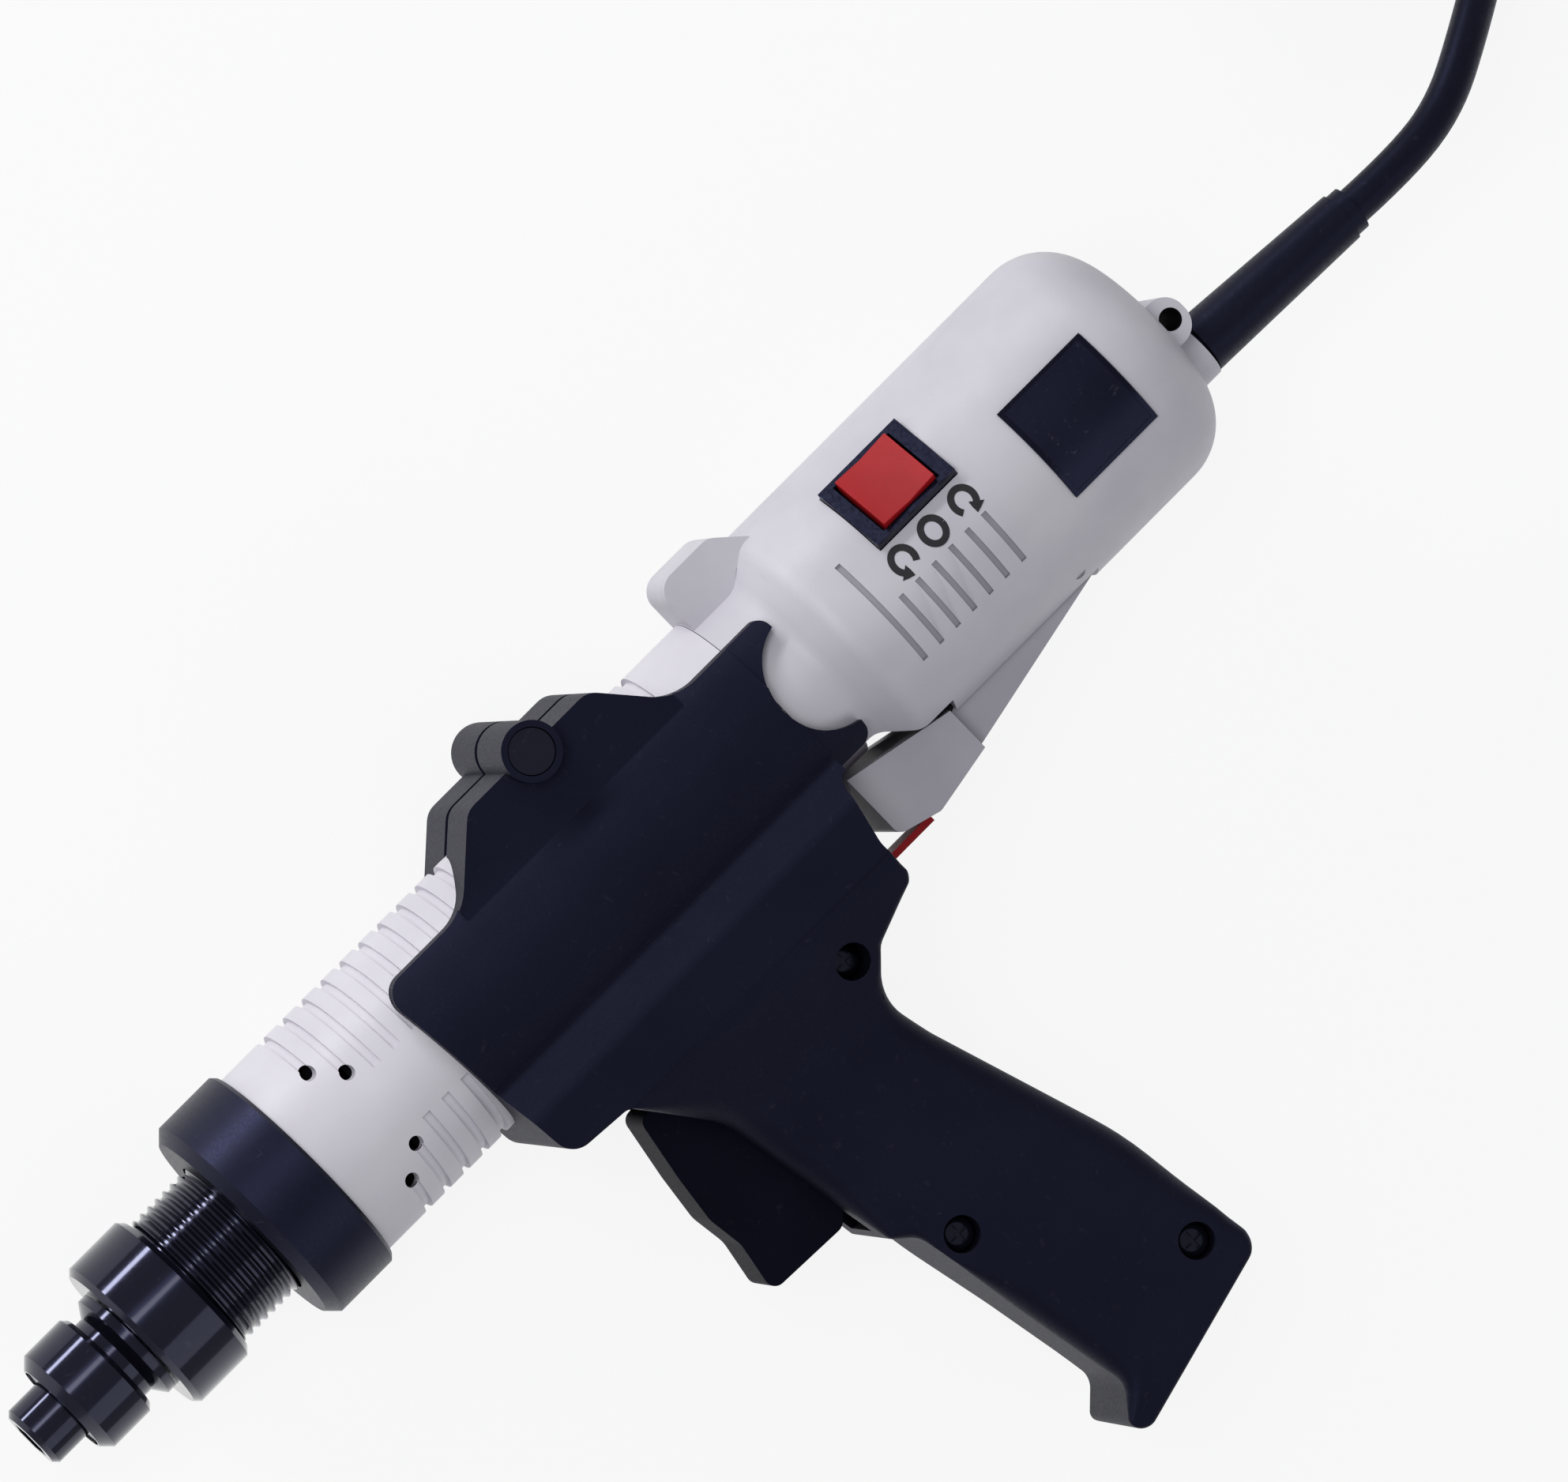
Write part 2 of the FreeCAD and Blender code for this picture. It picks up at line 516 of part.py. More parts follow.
def arc_through(start, apex, end):
    """The arc between two points whose tangents meet at apex."""
    centre = (start + end) * 0.5
    half, rise = (end - start).Length / 2, (apex - centre).Length
    if rise < 1e-6:
        return Part.LineSegment(start, end).toShape()
    angle = math.atan2(rise, half)
    top = centre + (apex - centre) * (math.tan(angle / 2) / math.tan(angle))
    return Part.Arc(start, top, end).toShape()


def tube_along(edges, radius):
    """One unbroken solid tube along a chain of edges."""
    wire = Part.Wire(edges)
    start = wire.Edges[0].valueAt(wire.Edges[0].FirstParameter)
    way = wire.Edges[0].tangentAt(wire.Edges[0].FirstParameter)
    section = Part.Wire([Part.Circle(start, way, radius).toShape()])
    return wire.makePipeShell([section], True, False)


def wound_edges(spot, first, last, steps):
    """Biarcs through points of a winding; spot gives the place at an angle in degrees."""
    nudge = 1e-4
    places, ways = [], []
    for index in range(steps + 1):
        angle = first + (last - first) * index / steps
        places.append(spot(angle))
        ways.append((spot(angle + nudge) - spot(angle - nudge)).normalize())
    edges = []
    for index in range(steps):
        edges += biarc(places[index], ways[index], places[index + 1], ways[index + 1])
    return edges, places, ways


def spring_along_x(label, front, rear, radius, wire, turns, rise=ZERO):
    """A compression spring on a line parallel to the tool's axis, clear of both of its seats."""
    room = float(wire) / 2 + float(size.seat_gap)
    start, end = float(front) + room, float(rear) - room
    reach, drop = float(radius), float(rise)
    whole = 360 * int(turns)

    def spot(angle):
        turned = math.radians(angle)
        along = start + (end - start) * angle / whole
        return Vector(along, drop + reach * math.cos(turned), reach * math.sin(turned))

    edges, _, _ = wound_edges(spot, 0, whole, 4 * int(turns))
    return add_shape(label, tube_along(edges, float(wire) / 2))


def spheres(centres, radius):
    return Part.makeCompound([Part.makeSphere(radius, centre) for centre in centres])


def around(radius, station, count, offset=0):
    """Points on a ring about the tool's axis."""
    points = []
    for index in range(count):
        angle = math.radians(offset + 360 * index / count)
        points.append(Vector(station, radius * math.cos(angle), radius * math.sin(angle)))
    return points


# Tooth proportions as shares of the module, and the steps along a flank.
ADDENDUM_SHARE = 0.9
DEDENDUM_SHARE = 1.25
FLANK_STEPS = 4


def tooth_outline(teeth, inner_share, outer_share, backlash):
    """Involute outline about the origin in the YZ plane, with a tooth's middle on the first axis."""
    module = float(size.gear_module)
    pitch = module * teeth / 2
    lean = math.radians(float(size.pressure_angle))
    base = pitch * math.cos(lean)
    low, high = pitch - inner_share * module, pitch + outer_share * module

    def involute(angle):
        return math.tan(angle) - angle

    half_pitch = math.pi / (2 * teeth) - backlash / (2 * pitch) + involute(lean)
    flank = []
    for step in range(FLANK_STEPS + 1):
        radius = low + (high - low) * step / FLANK_STEPS
        bend = involute(math.acos(min(1.0, base / max(radius, base))))
        flank.append((radius, half_pitch - bend))
    points = []
    for tooth in range(teeth):
        middle = 2 * math.pi * tooth / teeth
        for radius, half in flank:
            points.append((radius, middle - half))
        for radius, half in reversed(flank):
            points.append((radius, middle + half))
    corners = [Vector(0, r * math.cos(a), r * math.sin(a)) for r, a in points]
    return Part.Face(Part.makePolygon(corners + corners[:1]))


def gear_solid(teeth, bore, turned_by):
    """A spur gear about the tool's axis between the gear stations."""
    width = float(size.gear_width)
    gear = tooth_outline(teeth, DEDENDUM_SHARE, ADDENDUM_SHARE, float(size.gear_backlash))
    solid = gear.extrude(Vector(width, 0, 0))
    solid = solid.cut(Part.makeCylinder(bore, width, Vector(0, 0, 0), Vector(1, 0, 0)))
    solid.rotate(Vector(0, 0, 0), Vector(1, 0, 0), turned_by)
    solid.translate(Vector(float(GEAR_FRONT), 0, 0))
    return solid


def build_bit_holder():
    spindle = new_body("output_spindle")
    turn(spindle, [
        (ZERO, ZERO), (ZERO, size.stub_radius - size.stub_chamfer), (size.stub_chamfer, size.stub_radius),
        (COLLAR_REAR, size.stub_radius), (COLLAR_REAR, size.neck_radius), (CONE_FRONT, size.neck_radius),
        (CONE_FRONT + size.cone_length / 2, size.cone_radius), (CONE_REAR, size.cone_radius),
        (CONE_REAR, size.shaft_radius), (PLATE_REAR, size.shaft_radius), (PLATE_REAR, size.tail_radius),
        (JOURNAL_REAR, size.tail_radius), (JOURNAL_REAR, ZERO),
    ])
    half = size.hex_across / 2
    slant = half / math.cos(math.radians(30))
    hexagon = [
        (slant * math.cos(math.radians(60 * step)), slant * math.sin(math.radians(60 * step)))
        for step in range(6)
    ]
    extrude(spindle, [hexagon], size.hex_depth, cut=True, role="YZ_Plane", reversed_way=True)
    ball_station = COLLAR_REAR - size.ball_inset - size.ball_radius / 2
    ball_hole = size.ball_radius + size.running_fit
    reach = size.stub_radius + size.overrun
    bar(spindle, ball_hole, 2 * reach, (ball_station, -reach, ZERO), "Y", cut=True)
    turned_piece("bit_collar", [
        (size.stub_reach, size.collar_chamber_radius),
        (size.stub_reach, size.collar_radius - size.collar_chamfer),
        (size.stub_reach + size.collar_chamfer, size.collar_radius),
        (COLLAR_REAR - size.collar_chamfer / 2, size.collar_radius),
        (COLLAR_REAR, size.collar_radius - size.collar_chamfer / 2),
        (COLLAR_REAR, size.stub_radius + size.running_fit),
        (COLLAR_REAR - size.collar_lip, size.stub_radius + size.running_fit),
        (COLLAR_REAR - size.collar_lip, size.collar_chamber_radius),
    ])
    clip_front = size.stub_reach + size.clip_inset
    clip_rear = clip_front + size.clip_width
    turned_piece("collar_clip", ring_corners(clip_front, clip_rear, size.stub_radius, size.clip_radius))
    spring_along_x("collar_spring", clip_rear, COLLAR_REAR - size.collar_lip, size.collar_spring_radius,
                   size.collar_wire, float(size.collar_spring_turns))
    ball_ring = float(size.stub_radius - size.ball_radius)
    balls = [Vector(float(ball_station), way * ball_ring, 0) for way in (1, -1)]
    add_shape("detent_balls", spheres(balls, float(size.ball_radius)))


def build_clutch():
    turned_piece("torque_nut", [
        (NUT_FRONT, size.nut_hole_radius), (NUT_FRONT, size.nut_radius - size.nut_chamfer),
        (NUT_FRONT + size.nut_chamfer, size.nut_radius), (NUT_REAR - size.nut_chamfer, size.nut_radius),
        (NUT_REAR, size.nut_radius - size.nut_chamfer), (NUT_REAR, size.nose_radius + size.running_fit),
        (NUT_FRONT + size.nut_wall, size.nose_radius + size.running_fit),
        (NUT_FRONT + size.nut_wall, size.nut_hole_radius),
    ])
    seat_bore = size.shaft_radius + size.running_fit
    turned_piece("spring_seat", ring_corners(SEAT_FRONT, SEAT_REAR, seat_bore, size.seat_radius))
    spring_along_x("clutch_spring", SEAT_REAR, PLATE_FRONT, size.clutch_spring_radius, size.clutch_wire,
                   float(size.clutch_spring_turns))
    flange_front = UNION_SEAT + size.seat_gap
    spigot_rear = NOSE_FLANGE_REAR + size.nose_spigot
    turned_piece("nose_bush", [
        (NOSE_FRONT, size.nose_bore), (NOSE_FRONT, size.nose_radius), (flange_front, size.nose_radius),
        (flange_front, size.nose_flange_radius), (NOSE_FLANGE_REAR, size.nose_flange_radius),
        (NOSE_FLANGE_REAR, size.tube_bore - size.seat_gap), (spigot_rear, size.tube_bore - size.seat_gap),
        (spigot_rear, size.nose_bore),
    ])
    union_bore = size.tube_spigot_radius + size.seat_gap
    nose_hole = size.nose_radius + size.small_gap
    turned_piece("union_ring", [
        (UNION_FRONT, nose_hole), (UNION_FRONT, size.union_radius - size.union_chamfer),
        (UNION_FRONT + size.union_chamfer, size.union_radius),
        (TUBE_FRONT - size.union_edge, size.union_radius),
        (TUBE_FRONT, size.union_radius - size.union_edge), (TUBE_FRONT, union_bore), (UNION_SEAT, union_bore),
        (UNION_SEAT, nose_hole),
    ])
    turned_piece("clutch_plate", ring_corners(PLATE_FRONT, PLATE_REAR, size.shaft_radius, size.plate_radius))
    station = float(PLATE_REAR + size.clutch_ball_radius + size.seat_gap / 2)
    balls = around(float(size.clutch_ball_ring), station, int(float(size.clutch_ball_count)))
    add_shape("clutch_balls", spheres(balls, float(size.clutch_ball_radius)))


def build_gears():
    carrier = new_body("planet_carrier")
    bore = size.tail_radius + size.running_fit
    turn(carrier, [
        (CARRIER_FRONT, bore), (CARRIER_FRONT, size.carrier_radius), (JOURNAL_FRONT, size.carrier_radius),
        (JOURNAL_FRONT, size.journal_radius), (JOURNAL_REAR, size.journal_radius),
        (JOURNAL_REAR, size.carrier_radius), (CARRIER_REAR, size.carrier_radius), (CARRIER_REAR, bore),
    ])
    count = int(float(size.planet_count))
    for index in range(count):
        angle = 2 * math.pi * index / count
        base = (JOURNAL_REAR, PLANET_RING * math.cos(angle), PLANET_RING * math.sin(angle))
        bar(carrier, size.planet_pin_radius, GEAR_REAR + size.gear_gap - JOURNAL_REAR, base, "X")
    turned_piece("spindle_bearing", ring_corners(
        JOURNAL_FRONT + size.seat_gap, JOURNAL_REAR - size.seat_gap, size.journal_radius + size.running_fit,
        size.tube_bore - size.seat_gap))
    planet_teeth, sun_teeth = int(float(size.planet_teeth)), int(float(size.sun_teeth))
    pin_bore = float(size.planet_pin_radius + size.running_fit)
    for index in range(count):
        turned_by = 360 * index / count
        planet = gear_solid(planet_teeth, pin_bore, 180 / planet_teeth)
        planet.translate(Vector(0, float(PLANET_RING), 0))
        planet.rotate(Vector(0, 0, 0), Vector(1, 0, 0), turned_by)
        add_shape(f"planet_gear_{index + 1}", planet)
    add_shape("sun_gear", gear_solid(sun_teeth, float(size.rotor_shaft_radius), 0))
    ring_teeth = sun_teeth + 2 * planet_teeth
    length = float(RING_REAR - RING_FRONT)
    space = tooth_outline(ring_teeth, ADDENDUM_SHARE, DEDENDUM_SHARE, -float(size.gear_backlash))
    space = space.extrude(Vector(length, 0, 0))
    space.rotate(Vector(0, 0, 0), Vector(1, 0, 0), 180 / ring_teeth)
    outside = float(size.tube_bore - size.seat_gap)
    ring = Part.makeCylinder(outside, length, Vector(0, 0, 0), Vector(1, 0, 0)).cut(space)
    ring.translate(Vector(float(RING_FRONT), 0, 0))
    add_shape("ring_gear", ring)


def build_motor():
    inner = size.can_radius - size.can_wall
    bearing_seat = size.motor_bearing_radius + size.seat_gap
    turned_piece("motor_can", [
        (CAN_FRONT, bearing_seat), (CAN_FRONT, size.can_radius), (CAN_REAR, size.can_radius),
        (CAN_REAR, inner),
        (CAN_FRONT + size.can_front_wall, inner), (CAN_FRONT + size.can_front_wall, bearing_seat),
    ])
    turned_piece("rotor_shaft", disc_corners(GEAR_FRONT, CAP_REAR, size.rotor_shaft_radius))
    armature = new_body("armature")
    turn(armature, ring_corners(ARMATURE_FRONT, ARMATURE_REAR, size.rotor_shaft_radius, size.armature_radius))
    half = size.armature_slot_width / 2
    floor = size.armature_radius - size.armature_slot_depth
    slot = block(armature, (ARMATURE_FRONT - size.overrun, floor, -half),
                 (ARMATURE_REAR + size.overrun, size.armature_radius + size.overrun, half), cut=True)
    pattern = armature.newObject("PartDesign::PolarPattern", "slots")
    pattern.Originals = [slot]
    axis = [item for item in armature.Origin.OriginFeatures if item.Role == "X_Axis"][0]
    pattern.Axis = (axis, [""])
    pattern.Angle = 360
    pattern.setExpression("Occurrences", size.armature_slots.text)
    armature.Tip = pattern
    turned_piece("commutator", ring_corners(
        COMMUTATOR_FRONT, COMMUTATOR_REAR, size.rotor_shaft_radius, size.commutator_radius))
    magnets = []
    bore = float(inner - size.magnet_thick)
    for way in (0, 180):
        sector = Part.makeCylinder(float(inner - size.seat_gap), float(size.armature_length),
                                   Vector(0, 0, 0), Vector(1, 0, 0), float(size.magnet_angle))
        core = Part.makeCylinder(bore, float(size.armature_length), Vector(0, 0, 0), Vector(1, 0, 0))
        sector = sector.cut(core)
        sector.rotate(Vector(0, 0, 0), Vector(1, 0, 0), way)
        sector.translate(Vector(float(ARMATURE_FRONT), 0, 0))
        magnets.append(sector)
    add_shape("motor_magnets", Part.makeCompound(magnets))
    rings = []
    for station in (CAN_FRONT, CAN_REAR + size.seat_gap):
        base, way, width = Vector(float(station), 0, 0), Vector(1, 0, 0), float(size.motor_bearing_width)
        ring = Part.makeCylinder(float(size.motor_bearing_radius), width, base, way)
        bore = float(size.rotor_shaft_radius + size.running_fit)
        rings.append(ring.cut(Part.makeCylinder(bore, width, base, way)))
    add_shape("motor_bearings", Part.makeCompound(rings))
    cap = new_body("motor_end_cap")
    turn(cap, [
        (CAN_REAR, bearing_seat), (CAN_REAR, size.can_radius), (CAP_REAR, size.can_radius),
        (CAP_REAR, size.rotor_shaft_radius + size.small_gap),
        (CAN_REAR + size.motor_bearing_width + size.small_gap, size.rotor_shaft_radius + size.small_gap),
        (CAN_REAR + size.motor_bearing_width + size.small_gap, bearing_seat),
    ])
    brushes = []
    low = float(size.commutator_radius + size.seat_gap)
    for way in (0, 180):
        brush = Part.makeBox(
            float(size.brush_length), float(size.brush_reach), float(size.brush_width),
            Vector(float(COMMUTATOR_FRONT + (size.commutator_length - size.brush_length) / 2), low,
                   -float(size.brush_width) / 2))
        brush.rotate(Vector(0, 0, 0), Vector(1, 0, 0), way)
        brushes.append(brush)
    add_shape("carbon_brushes", Part.makeCompound(brushes))


def build_front_tube():
    tube = new_body("front_tube")
    tail_rear = TUBE_REAR + size.tube_tail
    turn(tube, [
        (SPIGOT_FRONT, size.tube_bore), (SPIGOT_FRONT, size.tube_spigot_radius),
        (TUBE_FRONT, size.tube_spigot_radius), (TUBE_FRONT, size.tube_radius), (TUBE_REAR, size.tube_radius),
        (TUBE_REAR, size.tube_tail_radius), (tail_rear, size.tube_tail_radius), (tail_rear, size.tube_bore),
    ])
    panels = (size.panel_angle_first, size.panel_angle_second, size.panel_angle)
    floor = size.tube_radius - size.groove_depth
    top = size.tube_radius + size.overrun
    grooves = []
    for index, panel in enumerate(panels):
        front = TUBE_FRONT + size.groove_start + index * size.groove_pitch
        rear = front + size.groove_width
        for way in (1, -1):
            corners = [(front, way * floor), (front, way * top), (rear, way * top), (rear, way * floor)]
            groove = turn(tube, corners, 180 - 2 * panel, cut=True, both_ways=True)
            grooves.append(groove)
    pattern = tube.newObject("PartDesign::LinearPattern", "grooves")
    pattern.Originals = grooves[-2:]
    axis = [item for item in tube.Origin.OriginFeatures if item.Role == "X_Axis"][0]
    pattern.Direction = (axis, [""])
    spaces = size.groove_count - len(panels)
    pattern.setExpression("Length", (spaces * size.groove_pitch).text)
    pattern.setExpression("Occurrences", (spaces + 1).text)
    tube.Tip = pattern
    depth = size.tube_radius + size.overrun
    for index, rise in enumerate((size.vent_rise_first, size.vent_rise_second)):
        middle = TUBE_FRONT + size.groove_start + index * size.groove_pitch + size.groove_width / 2
        for way in (1, -1):
            bar(tube, size.vent_radius, 2 * depth, (middle, way * rise, -depth), "Z", cut=True)


def outward_placement(x, rise, along, degrees):
    """A place at a rise from the tool's axis, turned from +Z towards +Y and facing outward there."""
    angle = math.radians(degrees)
    height, side = float(rise), float(along)
    base = Vector(float(x), height * math.sin(angle) + side * math.cos(angle),
                  height * math.cos(angle) - side * math.sin(angle))
    return FreeCAD.Placement(base, FreeCAD.Rotation(Vector(1, 0, 0), -degrees))


def switch_placement(x, rise, along=ZERO):
    """A place on the reversing switch's own radius."""
    return outward_placement(x, rise, along, float(size.switch_angle))


def casing_screw_spots():
    rear = CASING_REAR - size.casing_screw_inset
    return (
        (COLLAR_END + size.casing_screw_inset, size.casing_screw_rise),
        (rear, size.casing_screw_rise), (rear, -size.casing_screw_rise),
    )


def build_casing_half(label, side):
    """One half of the rear casing; side is 1 for the half that faces up and -1 for the other."""
    half = new_body(label)
    inner = size.casing_radius - size.casing_wall
    socket = size.tube_tail_radius + size.fit_gap
    shoulder_rear = COLLAR_END + size.casing_shoulder
    turn(half, [
        (CASING_FRONT, socket), (CASING_FRONT, size.tube_radius),
        (COLLAR_END, size.tube_radius, size.shoulder_round),
        (shoulder_rear, size.casing_radius, size.shoulder_round),
        (CASING_REAR, size.casing_radius, size.dome_round), (CASING_REAR, ZERO),
        (CASING_REAR - size.casing_wall, ZERO),
        (CASING_REAR - size.casing_wall, inner, size.dome_round - size.casing_wall),
        (shoulder_rear + size.casing_wall / 2, inner), (COLLAR_END + size.casing_wall, socket),
    ], degrees=180, reversed_way=side < 0)
    lug_front = CASING_FRONT + size.small_gap
    lug_rear = CASING_FRONT + size.top_lug_length
    extrude(half, [[
        (lug_front, size.top_lug_foot), (lug_front, size.top_lug_rise, size.top_lug_round),
        (lug_front + size.top_lug_flat, size.top_lug_rise, size.top_lug_round),
        (lug_rear, inner + size.casing_wall / 2), (lug_rear, inner + size.small_gap),
        (lug_front + size.top_lug_flat, size.top_lug_foot + size.casing_wall),
        (COLLAR_END, size.top_lug_foot),
    ]], size.top_lug_half, reversed_way=side < 0)
    boss_front = CASING_REAR - size.boss_depth
    boss_length = size.boss_depth + size.boss_reach
    bar(half, size.boss_radius, boss_length, (boss_front, -size.boss_drop, ZERO), "X")
    hanger = CASING_REAR + size.hanger_reach
    low, high = -size.hanger_drop - size.hanger_half_height, size.hanger_half_height - size.hanger_drop
    extrude(half, [[
        (boss_front, low), (hanger, low, size.hanger_round), (hanger, high, size.hanger_round),
        (boss_front, high),
    ]], size.hanger_half_width, reversed_way=side < 0)
    way = "Z" if side > 0 else "-Z"
    for x, y in casing_screw_spots():
        bar(half, size.screw_boss_radius, size.screw_boss_length, (x, y, ZERO), way)
    if side < 0:
        for x in (TUBE_REAR + size.board_station + size.standoff_inset,
                  TUBE_REAR + size.board_station + size.board_length - size.standoff_inset):
            reach = inner + size.casing_wall / 2 - size.board_depth - size.board_thick
            bar(half, size.standoff_radius, reach, (x, ZERO, -size.board_depth - size.board_thick), way)
    far = size.casing_radius + size.overrun
    hole = (CASING_REAR + size.hanger_hole_inset, -size.hanger_drop, ZERO)
    bar(half, size.hanger_hole_radius, size.hanger_half_width + size.seat_gap, hole, way, cut=True)
    neck = bar(half, size.boot_neck_radius + size.small_gap, boss_length + 2 * size.overrun,
               (BOSS_REAR, -size.boss_drop, ZERO), "X", cut=True)
    lean = math.radians(float(size.boot_angle))
    back = boss_length + size.overrun
    leaning = FreeCAD.Rotation(Vector(0, 0, 1), float(size.boot_angle))
    neck.Placement = FreeCAD.Placement(neck.Placement.Base, leaning * neck.Placement.Rotation)
    neck.setExpression("Placement.Base.x", (BOSS_REAR - back * math.cos(lean)).text)
    neck.setExpression("Placement.Base.y", (-size.boss_drop - back * math.sin(lean)).text)
    lever_front = CASING_FRONT - size.overrun
    pad_rear = LEVER_PAD_REAR + size.lever_notch
    arm_rear = LEVER_PIVOT + size.lever_tail + size.lever_room
    block(half, (lever_front, -far, -size.lever_room_half),
          (pad_rear, -size.lever_room_top, size.lever_room_half),
          cut=True)
    block(half, (lever_front, -far, -size.arm_room_half),
          (arm_rear, -size.lever_room_top, size.arm_room_half),
          cut=True)
    pin = (LEVER_PIVOT, -size.lever_pivot_drop, ZERO)
    bar(half, size.lever_pin_radius + size.running_fit, size.lever_pin_half + size.seat_gap, pin, way,
        cut=True)
    for x, y in casing_screw_spots():
        bar(half, size.screw_radius + size.running_fit, size.screw_boss_length, (x, y, ZERO), way, cut=True)
        if side < 0:
            bar(half, size.screw_head_radius + size.small_gap, far, (x, y, -size.screw_seat), way, cut=True)
    louvre_front = TUBE_REAR + size.louvre_start
    floor = size.casing_radius - size.louvre_depth
    for angle, repeated in ((size.louvre_angle, True), (size.louvre_long_angle, False)):
        slot = half.newObject("PartDesign::SubtractiveBox", "louvre")
        slot.setExpression("Length", size.louvre_width.text)
        slot.setExpression("Width", size.louvre_run.text)
        slot.setExpression("Height", far.text)
        turned = float(angle) if side > 0 else 180 - float(angle)
        slot.Placement = outward_placement(louvre_front, floor, -size.louvre_run / 2, turned)
        half.Tip = slot
        if repeated:
            pattern = half.newObject("PartDesign::LinearPattern", "louvres")
            pattern.Originals = [slot]
            axis = [item for item in half.Origin.OriginFeatures if item.Role == "X_Axis"][0]
            pattern.Direction = (axis, [""])
            pattern.setExpression("Length", ((size.louvre_count - 1) * size.louvre_pitch).text)
            pattern.setExpression("Occurrences", size.louvre_count.text)
            half.Tip = pattern
    if side > 0:
        middle = TUBE_REAR + size.switch_station
        for length, width, low in ((size.bezel_length, size.bezel_width, size.bezel_seat),
                                   (size.switch_body_length, size.switch_body_width, size.bezel_seat / 2)):
            window = half.newObject("PartDesign::SubtractiveBox", "window")
            room_length, room_width = length + 2 * size.fit_gap, width + 2 * size.fit_gap
            window.setExpression("Length", room_length.text)
            window.setExpression("Width", room_width.text)
            window.setExpression("Height", far.text)
            window.Placement = switch_placement(middle - room_length / 2, low, -room_width / 2)
            half.Tip = window
    open_side = (-far, ZERO) if side > 0 else (ZERO, far)
    block(half, (CASING_FRONT - far, -2 * far, open_side[0]), (BOOT_REAR, 2 * far, open_side[1]), cut=True)


def screw_shape(x, y, seat, way, radius, head_radius, head, length):
    """A plain screw whose head rests at seat and points along Z by way."""
    up = Vector(0, 0, way)
    base = Vector(float(x), float(y), float(seat) * way)
    top = Part.makeCylinder(float(head_radius), float(head), base, up)
    return top.fuse(Part.makeCylinder(float(radius), float(length), base, up * -1)).removeSplitter()


def build_casing():
    build_casing_half("rear_casing_left", 1)
    build_casing_half("rear_casing_right", -1)
    length = size.screw_seat + size.screw_depth
    screws = [screw_shape(x, y, size.screw_seat, -1, size.screw_radius, size.screw_head_radius,
                          size.screw_head, length) for x, y in casing_screw_spots()]
    add_shape("casing_screws", Part.makeCompound(screws))
    plate = new_body("side_plate")
    low = size.casing_radius + size.running_fit
    front = TUBE_REAR + size.plate_station - size.plate_size / 2
    corners = ring_corners(front, front + size.plate_size, low, low + size.plate_thick)
    span = size.plate_size / size.casing_radius * math.degrees(1)
    turn(plate, corners, span, both_ways=True, role="XZ_Plane")


def build_reversing_switch():
    middle = TUBE_REAR + size.switch_station
    place_up = FreeCAD.Placement(shift_vector(), FreeCAD.Rotation())
    place_up = place_up.multiply(switch_placement(middle, ZERO))

    def box_loop(length, width):
        far, wide = length / 2, width / 2
        return [(-far, -wide), (far, -wide), (far, wide), (-far, wide)]

    switch = new_body("switch_body", moved=False)
    bezel = box_loop(size.bezel_length, size.bezel_width)
    extrude(switch, [bezel], size.bezel_height, offset=size.bezel_seat)
    extrude(switch, [box_loop(size.switch_body_length, size.switch_body_width)], size.switch_body_depth,
            offset=size.bezel_seat, reversed_way=True)
    well = box_loop(size.rocker_length + 2 * size.rocker_room, size.rocker_width + 2 * size.fit_gap)
    extrude(switch, [well], size.rocker_well, cut=True, offset=size.bezel_seat + size.bezel_height)
    pivot = size.bezel_seat + size.bezel_height - size.rocker_pivot_depth
    span = size.rocker_width / 2 + size.rocker_stud
    socket = span + size.seat_gap
    bar(switch, size.rocker_stud_radius + size.running_fit, 2 * socket, (ZERO, -socket, pivot), "Y", cut=True)
    switch.Placement = place_up
    rocker = new_body("reversing_rocker", moved=False)
    top = size.bezel_seat + size.bezel_height + size.rocker_rise
    low = size.bezel_seat + size.bezel_height - size.rocker_depth
    half = size.rocker_length / 2
    extrude(rocker, [[(-half, low), (half, low), (half, top), (ZERO, top - size.rocker_dip), (-half, top)]],
            size.rocker_width, both_ways=True, role="XZ_Plane")
    bar(rocker, size.rocker_stud_radius, 2 * span, (ZERO, -span, pivot), "Y")
    rocker.Placement = place_up


